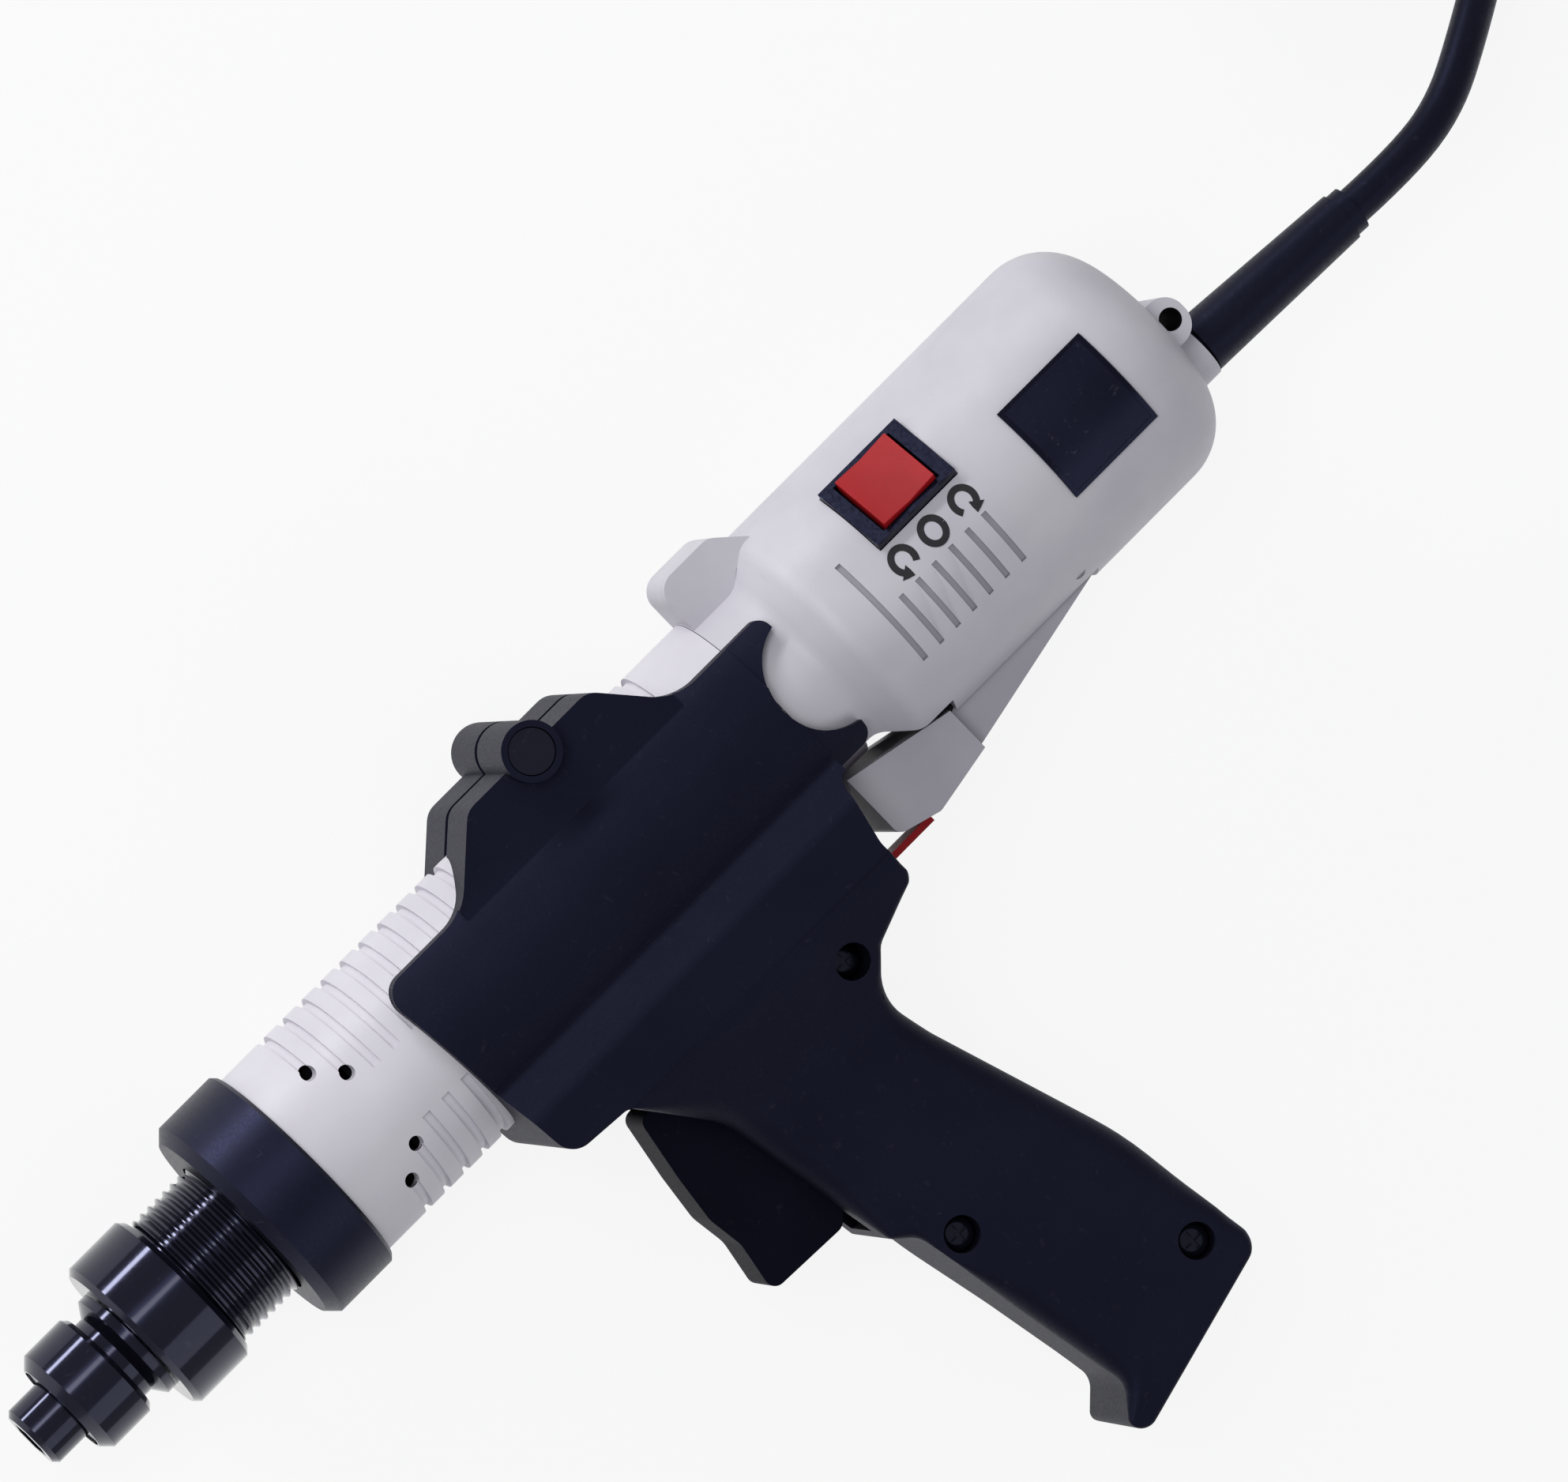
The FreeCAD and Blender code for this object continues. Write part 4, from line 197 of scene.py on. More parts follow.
# Ferrite, pressed and sintered: a dull charcoal like fired clay.
MAGNET = Finish("sintered_ferrite", "#2B2B2E", "#222225", Surface.RUBBER, 0.70, 0.08, 0.0, 0.0, 0.4, 0.02)
# Black rubber, extruded over the cores: soft black with a faint bloom.
RUBBER = Finish("extruded_rubber", "#14141C", "#0F0F16", Surface.RUBBER, 0.46, 0.08, 0.0, 0.0,
                0.7, 0.014, 0.06, 0.30, BLUISH_REFLECTION)
# Glass-epoxy board, etched and lacquered green: glossy over raised tracks.
BOARD = Finish("glass_epoxy_board", "#1F5A33", "#17482A", Surface.BOARD, 0.40, 0.10, 0.0, 0.2, 1.6, 0.02)
# Pad-printed ink: a thin matt black film.
INK = Finish("pad_printed_ink", "#201F26", "#191820", Surface.MOULDED, 0.55, grain_mm=0.3, relief_mm=0.004)
# Painted shade: a near black with hardly any sheen, on the motor can and ring gear deep in the vents and on the
# sleeve in the hanger's hole, standing for the shade there.
SHADOW = Finish("painted_shade_black", "#0B0B0F", "#08080B", Surface.RUBBER, 0.80, 0.05, 0.0, 0.0,
                0.6, 0.01, specular=0.1)

SLOT_FINISH: dict[str, Finish] = {
    "dark_steel": DARK, "bright_steel": STEEL, "spring_steel": SPRING, "casing_plastic": CASING,
    "grip_plastic": GRIP, "black_gloss": BLACK, "red_plastic": RED, "cord_rubber": RUBBER,
    "copper": COPPER, "magnet": MAGNET, "board": BOARD,
}
NODE_FINISH: dict[str, Finish] = {
    "side_plate": PLATE, "start_lever": LEVER, "front_tube": TUBE, "union_ring": OXIDE,
    # The motor can and ring gear take the painted shade, so that they read dark deep in the vents.
    "motor_can": SHADOW, "ring_gear": SHADOW,
}


# What the finishes share: patches, rub marks, turning lines and tracks in a millimetre, the part of each
# noise pattern that counts, and the limits of gloss.
PATCHES_PER_MM = 0.045
RUBS_PER_MM = 0.55
LINES_PER_MM = 1.3
TRACKS_PER_MM = 0.35
PATCH_RANGE = (0.34, 0.62)
RUB_RANGE = (0.60, 0.72)
GRAIN_RANGE = (0.3, 0.7)
COAT_ROUGHNESS = 0.08
LEAST_ROUGHNESS = 0.03


@dataclass
class Paintbox:
    """Makes each finish's material once and hands it out.

    Attributes:
        made: Materials made so far by name.
    """

    made: dict[str, bpy.types.Material] = field(default_factory=dict)

    def material(self, finish: Finish) -> bpy.types.Material:
        """Gives a finish's material.

        Args:
            finish: The looks wanted.

        Returns:
            A node material.
        """
        if finish.name not in self.made:
            self.made[finish.name] = self._build(finish)
        return self.made[finish.name]

    def paint(self, piece: bpy.types.Object, finish: Finish) -> None:
        """Puts a finish on an object.

        Args:
            piece: A mesh or curve object.
            finish: The looks wanted.
        """
        piece.data.materials.clear()
        piece.data.materials.append(self.material(finish))

    def _build(self, finish: Finish) -> bpy.types.Material:
        """Wires a finish's nodes up, on Object coordinates in millimetres.

        Args:
            finish: The looks wanted.

        Returns:
            A new node material.
        """
        material = bpy.data.materials.new(finish.name)
        material.use_nodes = True
        tree = material.node_tree
        shader = tree.nodes["Principled BSDF"]
        shader.inputs["Metallic"].default_value = finish.metallic
        shader.inputs["Coat Weight"].default_value = finish.coat
        shader.inputs["Coat Roughness"].default_value = COAT_ROUGHNESS
        shader.inputs["Specular IOR Level"].default_value = finish.specular
        shader.inputs["Specular Tint"].default_value = linear(finish.tint)

        def add(kind: str, **sockets: object) -> bpy.types.Node:
            """Adds a node.

            Args:
                kind: The node's type.
                sockets: Values of its inputs, with underscores for spaces.

            Returns:
                The node.
            """
            node = tree.nodes.new(kind)
            for name, value in sockets.items():
                node.inputs[name.replace("_", " ")].default_value = value
            return node

        def join(source: bpy.types.NodeSocket, node: bpy.types.Node, name: str) -> None:
            """Links an output to a node's named input."""
            tree.links.new(source, node.inputs[name])

        place = add("ShaderNodeTexCoord")
        millimetres = add("ShaderNodeMapping", Scale=(1.0 / MM, 1.0 / MM, 1.0 / MM))
        join(place.outputs["Object"], millimetres, "Vector")
        there = millimetres.outputs["Vector"]
        fine = add("ShaderNodeTexNoise", Scale=1.0 / finish.grain_mm, Detail=3.0, Roughness=0.55)
        broad = add("ShaderNodeTexNoise", Scale=PATCHES_PER_MM, Detail=3.0, Roughness=0.5)
        for noise in (fine, broad):
            join(there, noise, "Vector")
        tones = tree.nodes.new("ShaderNodeValToRGB")
        for end, tone, position in zip(tones.color_ramp.elements, (finish.shade, finish.colour), PATCH_RANGE):
            end.color = linear(tone)
            end.position = position
        join(broad.outputs["Fac"], tones, "Fac")
        colour = tones.outputs["Color"]
        if finish.scuff:
            marks = add("ShaderNodeTexNoise", Scale=RUBS_PER_MM, Detail=8.0, Roughness=0.72, Distortion=0.6)
            join(there, marks, "Vector")
            keep = add("ShaderNodeMapRange", From_Min=RUB_RANGE[0], From_Max=RUB_RANGE[1], To_Min=0.0,
                       To_Max=finish.scuff)
            join(marks.outputs["Fac"], keep, "Value")
            rub = tree.nodes.new("ShaderNodeMix")
            rub.data_type = "RGBA"
            # A Mix node's colours are its inputs 6 and 7 and its output 2.
            tree.links.new(keep.outputs["Result"], rub.inputs[0])
            tree.links.new(colour, rub.inputs[6])
            rub.inputs[7].default_value = linear(RUBBED)
            colour = rub.outputs[2]
        join(colour, shader, "Base Color")
        gloss = add("ShaderNodeMapRange", From_Min=GRAIN_RANGE[0], From_Max=GRAIN_RANGE[1],
                    To_Min=max(LEAST_ROUGHNESS, finish.roughness - finish.spread),
                    To_Max=finish.roughness + finish.spread)
        join(fine.outputs["Fac"], gloss, "Value")
        join(gloss.outputs["Result"], shader, "Roughness")
        bump = add("ShaderNodeBump", Strength=1.0, Distance=finish.relief_mm * MM)
        height = fine.outputs["Fac"]
        if finish.surface is Surface.TURNED:
            lines = add("ShaderNodeTexWave", Scale=LINES_PER_MM, Distortion=0.5, Detail=2.0)
            lines.bands_direction = "X"
            join(there, lines, "Vector")
            height = lines.outputs["Fac"]
        elif finish.surface is Surface.BOARD:
            traces = add("ShaderNodeTexBrick", Scale=TRACKS_PER_MM)
            join(there, traces, "Vector")
            height = traces.outputs["Fac"]
        join(height, bump, "Height")
        join(bump.outputs["Normal"], shader, "Normal")
        return material


@dataclass
class Workbench:
    """Makes mesh pieces with Blender's own modelling tools.

    Attributes:
        paints: Where the pieces' materials come from.
        near_mm: How far a point on a cylinder may lie from its radius.
        upright: Least share of a face's direction that points away from a cylinder's axis.
        flat_weight: How much more large faces count for shading than small ones; 50 is even.
        bevel_deg: Edges sharper than this are rounded.
        bevel_steps: Faces across such a rounding.
        whole_deg: Before that, faces bent less than this become one.
        soft_deg: Edges of a rounded piece bent more than this stay sharp.
        sheet_deg: The same for thin pieces.
    """

    paints: Paintbox
    near_mm: float = 0.02
    upright: float = 0.97
    flat_weight: int = 80
    bevel_deg: float = 38.0
    bevel_steps: int = 3
    whole_deg: float = 1.0
    soft_deg: float = 40.0
    sheet_deg: float = 50.0

    def wire(self, name: str, points: Sequence[Vector],
             faces: Sequence[Sequence[int]] = ()) -> bpy.types.Object:
        """Makes an object from points, in a chain of edges or with faces.

        Args:
            name: Name of the new object.
            points: Places in metres.
            faces: Corner numbers of each face; none gives a chain of edges.

        Returns:
            The new object, linked to the scene.
        """
        mesh = bpy.data.meshes.new(name)
        edges = [] if faces else [(i, i + 1) for i in range(len(points) - 1)]
        mesh.from_pydata([tuple(p) for p in points], edges, [tuple(f) for f in faces])
        piece = bpy.data.objects.new(name, mesh)
        bpy.context.scene.collection.objects.link(piece)
        return piece

    def pick(self, piece: bpy.types.Object) -> None:
        """Makes one object the only chosen and active one.

        Args:
            piece: The object.
        """
        bpy.ops.object.select_all(action="DESELECT")
        piece.select_set(True)
        bpy.context.view_layer.objects.active = piece

    @contextmanager
    def editing(self, piece: bpy.types.Object) -> Iterator[None]:
        """Opens an object in edit mode with all of it selected, and closes it again.

        Args:
            piece: The object.

        Returns:
            A context in which the object is open.
        """
        self.pick(piece)
        bpy.ops.object.mode_set(mode="EDIT")
        bpy.ops.mesh.select_all(action="SELECT")
        yield
        bpy.ops.object.mode_set(mode="OBJECT")

    def tidy(self, piece: bpy.types.Object, smooth_deg: float = 35.0) -> bpy.types.Object:
        """Merges doubled points, turns normals outward and shades by angle.

        Args:
            piece: The object.
            smooth_deg: Edges sharper than this stay sharp.

        Returns:
            The same object.
        """
        with self.editing(piece):
            bpy.ops.mesh.remove_doubles(threshold=TOUCH)
            bpy.ops.mesh.normals_make_consistent(inside=False)
        bpy.ops.object.shade_smooth_by_angle(angle=math.radians(smooth_deg))
        shell = bmesh.new()
        shell.from_mesh(piece.data)
        for edge in shell.edges:
            if edge.calc_face_angle(0.0) > math.radians(smooth_deg):
                edge.smooth = False
        shell.to_mesh(piece.data)
        shell.free()
        return piece

    def lathe(self, name: str, profile: Sequence[tuple[float, float]], centre: Vector, axis: Vector,
              steps: int) -> bpy.types.Object:
        """Turns a profile about an axis.

        Args:
            name: Name of the new object.
            profile: Millimetres along the axis and radius, from one end to the other.
            centre: Where the profile's zero lies, in metres.
            axis: Unit direction of the axis.
            steps: Number of flats round the axis.

        Returns:
            The new object.
        """
        side = axis.orthogonal().normalized()
        points = [centre + axis * (x * MM) + side * (r * MM) for x, r in profile]
        piece = self.wire(name, points)
        with self.editing(piece):
            bpy.ops.mesh.spin(steps=steps, angle=2 * math.pi, center=tuple(centre), axis=tuple(axis))
        return self.tidy(piece)

    def apply(self, piece: bpy.types.Object) -> None:
        """Applies all modifiers of an object in order.

        Args:
            piece: The object.
        """
        self.pick(piece)
        for modifier in list(piece.modifiers):
            bpy.ops.object.modifier_apply(modifier=modifier.name)

    def join(self, pieces: Sequence[bpy.types.Object], name: str) -> bpy.types.Object:
        """Joins objects into the first one.

        Args:
            pieces: The objects.
            name: Name of the result.

        Returns:
            The joined object.
        """
        self.pick(pieces[0])
        for piece in pieces[1:]:
            piece.select_set(True)
        bpy.ops.object.join()
        pieces[0].name = name
        return pieces[0]

    def thicken(self, piece: bpy.types.Object, thick_mm: float) -> bpy.types.Object:
        """Gives a flat piece a thickness, so that it is closed.

        Args:
            piece: The flat piece.
            thick_mm: Its thickness.

        Returns:
            The same piece.
        """
        wall = piece.modifiers.new("thickness", "SOLIDIFY")
        wall.thickness = thick_mm * MM
        wall.offset = 0.0
        self.apply(piece)
        return self.tidy(piece, self.sheet_deg)

    def copy(self, node: str, name: str, whole_deg: float = 0.0) -> bpy.types.Object:
        """Makes a copy of a solid with its points merged.

        Args:
            node: Name of the CAD node.
            name: Name of the new piece.
            whole_deg: Faces that meet at less than this angle become one; 0 leaves them.

        Returns:
            The new piece.
        """
        piece = bpy.data.objects.new(name, frame["nodes"][node].data.copy())
        bpy.context.scene.collection.objects.link(piece)
        with self.editing(piece):
            bpy.ops.mesh.remove_doubles(threshold=MERGE)
            if whole_deg:
                bpy.ops.mesh.dissolve_limited(angle_limit=math.radians(whole_deg))
        return piece

    def shade_flats(self, piece: bpy.types.Object) -> bpy.types.Object:
        """Keeps the shading of large faces even up to their rounded edges.

        Args:
            piece: The object.

        Returns:
            The same object.
        """
        weigh = piece.modifiers.new("flats", "WEIGHTED_NORMAL")
        weigh.mode = "FACE_AREA"
        weigh.weight = self.flat_weight
        weigh.keep_sharp = True
        self.apply(piece)
        return piece

    def shade_round(self, piece: bpy.types.Object, radii_mm: Sequence[float]) -> None:
        """Shades faces on cylinders about the tool's axis as smooth rounds.

        Args:
            piece: The object.
            radii_mm: Radii of the cylinders.
        """
        mesh = piece.data
        normals = [corner.vector.copy() for corner in mesh.corner_normals]
        for face in mesh.polygons:
            for index in face.loop_indices:
                place = mesh.vertices[mesh.loops[index].vertex_index].co / MM - SHIFT
                outward = Vector((0.0, place.y, place.z))
                off = min(abs(outward.length - radius) for radius in radii_mm)
                outward.normalize()
                if off < self.near_mm and face.normal.dot(outward) > self.upright:
                    normals[index] = outward
        mesh.normals_split_custom_set(normals)

    def soften(self, node: str, name: str, width_mm: float) -> bpy.types.Object:
        """Makes a copy of a solid with rounded edges, to stand for it.

        Args:
            node: Name of the CAD node.
            name: Name of the new piece.
            width_mm: Width of the rounding.

        Returns:
            The new piece.
        """
        piece = self.copy(node, name, self.whole_deg)
        bevel = piece.modifiers.new("round", "BEVEL")
        bevel.width = width_mm * MM
        bevel.segments = self.bevel_steps
        bevel.limit_method = "ANGLE"
        bevel.angle_limit = math.radians(self.bevel_deg)
        self.apply(piece)
        return self.shade_flats(self.tidy(piece, self.soft_deg))

    def done(self, piece: bpy.types.Object, finish: Finish, body: str, slot: str,
             replaced: Sequence[str] = ()) -> None:
        """Paints a piece and says what it rides on and stands for.

        Args:
            piece: The piece.
            finish: Its looks.
            body: CAD body that it moves with.
            slot: Material slot in the record; not used.
            replaced: CAD nodes that it stands for.
        """
        self.paints.paint(piece, finish)
        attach(piece, body)
        if replaced:
            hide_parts(*replaced)
        log.info("%s in %s rides on %s", piece.name, finish.name, body)


@dataclass
class Nose:
    """The threaded nose behind the torque nut.

    Attributes:
        bench: Tools to work with.
        crest_mm: Radius of the thread's crests.
        root_mm: Radius of its roots.
        pitch_mm: Advance in one turn.
        front_mm: Where the thread starts, under the nut.
        rear_mm: Where it runs out, inside the union ring.
        flat_share: Share of the pitch that is flat at crest and root.
        sleeve_mm: Outline of the sleeve below it, along the tool and from its axis.
        thread_steps: Flats in a turn of the thread.
        sleeve_steps: Flats round the sleeve.
        sharp_deg: Edges bent more than this stay sharp.
    """

    bench: Workbench
    crest_mm: float = 13.58
    root_mm: float = 12.95
    pitch_mm: float = 1.75
    front_mm: float = 32.9
    rear_mm: float = 50.6
    flat_share: float = 0.12
    sleeve_mm: tuple[tuple[float, float], ...] = (
        (32.6, 12.4), (32.6, 12.7), (33.0, 12.97), (53.1, 12.97), (53.1, 17.2), (56.9, 17.2), (56.9, 16.4),
        (59.9, 16.4), (59.9, 12.4), (32.6, 12.4))
    thread_steps: int = 56
    sleeve_steps: int = 72
    sharp_deg: float = 28.0

    def build(self) -> None:
        """Cuts the thread and turns the bush that carries it."""
        turns = int((self.rear_mm - self.front_mm) / self.pitch_mm) - 1
        last = self.rear_mm - self.pitch_mm
        flat = self.flat_share * self.pitch_mm
        profile = [(0.0, self.root_mm), (flat, self.root_mm), (self.pitch_mm / 2 - flat / 2, self.crest_mm),
                   (self.pitch_mm / 2 + flat / 2, self.crest_mm), (self.pitch_mm - flat, self.root_mm),
                   (self.pitch_mm, self.root_mm)]
        thread = self.bench.wire("nose_thread", [spot(last + x, r) for x, r in profile])
        with self.bench.editing(thread):
            bpy.ops.mesh.screw(steps=self.thread_steps, turns=turns, center=tuple(spot(0)),
                               axis=(1.0, 0.0, 0.0))
        bush = self.bench.lathe("nose_sleeve", self.sleeve_mm, spot(0), Vector((1, 0, 0)), self.sleeve_steps)
        piece = self.bench.join([bush, thread], "nose_sleeve")
        self.bench.tidy(piece, self.sharp_deg)
        self.bench.done(piece, DARK, "housing", "dark_steel", ["nose_bush"])


@dataclass
class CasingMarks:
    """Printed signs and trim on the rear casing's upper side.

    Attributes:
        bench: Tools to work with.
        radius_mm: Radius of the casing.
        lift_mm: How far print stands off it.
        stroke_mm: Width of a printed line.
        slot_front_mm: Front wall of the first cooling slot, along the tool.
        slot_width_mm: Width of a cooling slot.
        slot_pitch_mm: Distance between cooling slots.
        slot_count: Cooling slots on each side.
        slot_half_deg: Half of the angle that a slot spans.
        slot_deg: Angle of a slot's middle from the casing's top line.
        long_slot_deg: Angle of the first slot's upper half.
        slot_back_mm: How far the strip of painted shade at the slot's back lies from the surface.
        back_gap_mm: How much narrower that back is than the slot.
        back_thick_mm: Its thickness.
        back_steps: Parts of a half of its length.
        ink_mm: Thickness of print.
        signs: Name of each turning sign, its place along the tool, where its ring starts and ends, and
            whether an arrow head ends it.
        sign_row_mm: Where the signs lie round the casing.
        sign_half_mm: Half of a sign's length and height.
        sign_steps: Parts of its ring.
        head_mm: Reach and width of an arrow head at its points.
        rim_reach_mm: Outer and inner half-width of the plate's border.
        rim_rise_mm: Its foot and its top above the casing.
        rim_soft_mm: Width of its sloping edges.
        rim_steps: Parts of one of its sides.
        rim_sharp_deg: Its edges bent more than this stay sharp.
    """

    bench: Workbench
    radius_mm: float = 24.0
    lift_mm: float = 0.04
    stroke_mm: float = 1.2
    slot_front_mm: float = 194.3
    slot_width_mm: float = 1.1
    slot_pitch_mm: float = 3.9
    slot_count: int = 7
    slot_half_deg: float = 13.4
    slot_deg: float = -13.8
    long_slot_deg: float = 12.6
    slot_back_mm: float = -0.45
    back_gap_mm: float = 0.04
    back_thick_mm: float = 0.1
    back_steps: int = 5
    ink_mm: float = 0.03
    signs: tuple[tuple[str, float, float, float, bool], ...] = (
        ("sign_left", 203.2, -40.0, 230.0, True), ("sign_stop", 210.2, 0.0, 360.0, False),
        ("sign_right", 217.4, 220.0, -50.0, True))
    sign_row_mm: float = 3.6
    sign_half_mm: tuple[float, float] = (2.0, 2.3)
    sign_steps: int = 28
    head_mm: tuple[tuple[float, float], ...] = ((-0.3, 2.7), (0.7, 1.5), (1.6, 0.08))
    rim_reach_mm: tuple[float, float] = (9.7, 8.7)
    rim_rise_mm: tuple[float, float] = (0.5, 0.62)
    rim_soft_mm: float = 0.12
    rim_steps: int = 12
    rim_sharp_deg: float = 30.0

    def on_casing(self, s: float, along: float, lift: Optional[float] = None) -> Vector:
        """Wraps a flat place onto the casing.

        Args:
            s: Millimetres along the tool.
            along: Millimetres round the casing from its top line, towards the tool's back.
            lift: Millimetres off the surface.

        Returns:
            The place in metres.
        """
        radius = self.radius_mm + (self.lift_mm if lift is None else lift)
        angle = along / self.radius_mm
        return spot(s, radius * math.sin(angle), radius * math.cos(angle))

    def strip(self, name: str, line: Sequence[tuple[float, float]], widths: Sequence[float],
              lift: Optional[float] = None) -> bpy.types.Object:
        """Lays a thin line on the casing.

        Args:
            name: Name of the piece.
            line: Places along the middle of the line, in millimetres along and round.
            widths: Width at each place.
            lift: Millimetres off the surface.

        Returns:
            The piece.
        """
        points, faces = [], []
        for index, (s, along) in enumerate(line):
            before, after = line[max(0, index - 1)], line[min(len(line) - 1, index + 1)]
            way = Vector((after[0] - before[0], after[1] - before[1])).normalized()
            across = Vector((-way.y, way.x)) * (widths[index] / 2)
            points.append(self.on_casing(s + across.x, along + across.y, lift))
            points.append(self.on_casing(s - across.x, along - across.y, lift))
            if index:
                faces.append((2 * index - 2, 2 * index - 1, 2 * index + 1, 2 * index))
        return self.bench.wire(name, points, faces)

    def arc_sign(self, name: str, s: float, first_deg: float, last_deg: float,
                 arrow: bool) -> bpy.types.Object:
        """Draws an open or closed ring, with an arrow head where it ends.

        Args:
            name: Name of the piece.
            s: Middle along the tool.
            first_deg: Where the ring starts.
            last_deg: Where it ends.
            arrow: Whether it ends in an arrow head.

        Returns:
            The piece.
        """
        wide, tall = self.sign_half_mm
        line = []
        for index in range(self.sign_steps + 1):
            angle = math.radians(first_deg + (last_deg - first_deg) * index / self.sign_steps)
            line.append((s + wide * math.cos(angle), self.sign_row_mm + tall * math.sin(angle)))
        sign = self.strip(name, line, [self.stroke_mm] * len(line))
        if not arrow:
            return sign
        end, before = Vector(line[-1]), Vector(line[-3])
        way = (end - before).normalized()
        head = [tuple(end + way * reach) for reach, _ in self.head_mm]
        tip = self.strip(name + "_head", head, [width for _, width in self.head_mm])
        return self.bench.join([sign, tip], name)

    def build(self) -> None:
        """Makes the turning signs, the painted shade at the slots' backs and the plate's border."""
        for sign in self.signs:
            piece = self.bench.thicken(self.arc_sign(*sign), self.ink_mm)
            self.bench.done(piece, INK, "housing", "black_gloss")
        self.slots()
        self.rim()

    def slots(self) -> None:
        """Lays a strip of painted shade, a darker grey, at the back of each cooling slot."""
        backs = []
        for mirrored in (False, True):
            for index in range(self.slot_count):
                s = self.slot_front_mm + self.slot_width_mm / 2 + self.slot_pitch_mm * index
                for centre in (self.slot_deg, self.long_slot_deg)[:2 if index == 0 else 1]:
                    middle = 180.0 - centre if mirrored else centre
                    steps = range(-self.back_steps, self.back_steps + 1)
                    turns = [middle + self.slot_half_deg * step / self.back_steps for step in steps]
                    line = [(s, math.radians(turn) * self.radius_mm) for turn in turns]
                    widths = [self.slot_width_mm - self.back_gap_mm] * len(line)
                    backs.append(self.strip("slot_back", line, widths, self.slot_back_mm))
        backs = [self.bench.thicken(back, self.back_thick_mm) for back in backs]
        group = self.bench.join(backs, "louvre_painted_shade")
        # The slots' backs are painted shade: a darker grey strip standing for the shade deep in each slot.
        self.bench.done(group, SLOT_SHADE, "housing", "casing_plastic")

    def rim(self) -> None:
        """Raises a narrow border round the bare side plate."""
        low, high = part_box("side_plate")
        middle = (low[0] + high[0]) / 2 / MM - SHIFT.x
        (outer, inner), (foot, top), soft = self.rim_reach_mm, self.rim_rise_mm, self.rim_soft_mm
        square = [Vector(corner) for corner in ((-1, -1), (1, -1), (1, 1), (-1, 1))]
        outline = [first + (last - first) * (index / self.rim_steps)
                   for first, last in zip(square, square[1:] + square[:1]) for index in range(self.rim_steps)]
        section = ((outer, foot), (outer - soft, top), (inner + soft, top), (inner, foot))
        points = [self.on_casing(middle + place.x * reach, place.y * reach, lift)
                  for reach, lift in section for place in outline]
        faces = []
        count = len(outline)
        for ring in range(len(section)):
            here, there = ring * count, (ring + 1) % len(section) * count
            for index in range(count):
                after = (index + 1) % count
                faces.append((here + index, here + after, there + after, there + index))
        rim = self.bench.wire("plate_rim", points, faces)
        self.bench.done(self.bench.tidy(rim, self.rim_sharp_deg), BLACK, "housing", "black_gloss")


@dataclass
class Screws:
    """Small fasteners with driving recesses.

    Attributes:
        bench: Tools to work with.
        crown: Points of a head's rounded top: shares of its height below the top and of the head's radius.
        crown_share: Share of a head's height that is rounded.
        tip_share: Share of the shank's radius at its tip.
        recess: A recess's length and width as shares of the head's radius, and depth as one of its height.
        sides: Flats round a screw.
        sharp_deg: Edges bent more than this stay sharp.
        casing_spots_mm: Places of the casing's screws, along the tool and away from the grip.
    """

    bench: Workbench
    crown: tuple[tuple[float, float], ...] = ((1.0, 1.0), (0.4, 0.93), (0.1, 0.78), (0.0, 0.55))
    crown_share: float = 0.38
    tip_share: float = 0.6
    recess: tuple[float, float, float] = (1.15, 0.26, 0.9)
    sides: int = 32
    sharp_deg: float = 32.0
    casing_spots_mm: tuple[tuple[float, float], ...] = ((196.15, 15.5), (249.3, 15.5), (249.3, -15.5))

    def head(self, name: str, seat: Vector, way: Vector, radius: float, height: float, shank: float,
             length: float) -> bpy.types.Object:
        """Turns a pan head with a cross recess on its shank.

        Args:
            name: Name of the piece.
            seat: Middle of the head's seat, in metres.
            way: Direction that the head faces.
            radius: Head radius in millimetres.
            height: Head height in millimetres.
            shank: Shank radius in millimetres.
            length: Shank length in millimetres.

        Returns:
            The screw.
        """
        soft = height * self.crown_share
        outline = [(-length, 0.0), (-length, shank * self.tip_share), (-length + shank, shank), (0.0, shank),
                   (0.0, radius)]
        outline += [(height - soft * below, radius * share) for below, share in self.crown]
        screw = self.bench.lathe(name, outline + [(height, 0.0)], seat, way, self.sides)
        long, wide, deep = self.recess
        size = Matrix.Diagonal((radius * long * MM, radius * wide * MM, height * deep * MM, 1.0))
        facing = way.to_track_quat("Z", "Y").to_matrix().to_4x4()
        for turned in (0, 90):
            bpy.ops.mesh.primitive_cube_add(size=1.0)
            cutter = bpy.context.object
            cross = facing @ Matrix.Rotation(math.radians(turned), 4, "Z")
            cutter.data.transform(Matrix.Translation(seat + way * (height * MM)) @ cross @ size)
            hole = screw.modifiers.new("recess", "BOOLEAN")
            hole.operation = "DIFFERENCE"
            hole.object = cutter
            hole.solver = "EXACT"
            self.bench.apply(screw)
            bpy.data.objects.remove(cutter)
        return self.bench.tidy(screw, self.sharp_deg)

    def build(self) -> None:
        """Makes the screws of the grip and of the casing."""
        # Name, places, height of the seats, the way the heads face, sizes, finish and slot of each set.
        plans = (
            ("grip_screw", GRIP_SCREWS, 10.0, 1, (3.0, 2.4, 1.5, 19.0), DARK, "dark_steel"),
            ("casing_screw", self.casing_spots_mm, -12.5, -1, (2.7, 2.4, 1.4, 21.5), STEEL, "bright_steel"),
        )
        for name, places, seat, way, sizes, finish, slot in plans:
            pieces = [self.head(f"{name}_{i}", spot(s, h, seat), Vector((0, 0, way)), *sizes)
                      for i, (s, h) in enumerate(places)]
            self.bench.done(self.bench.join(pieces, f"{name}_set"), finish, "housing", slot, [f"{name}s"])


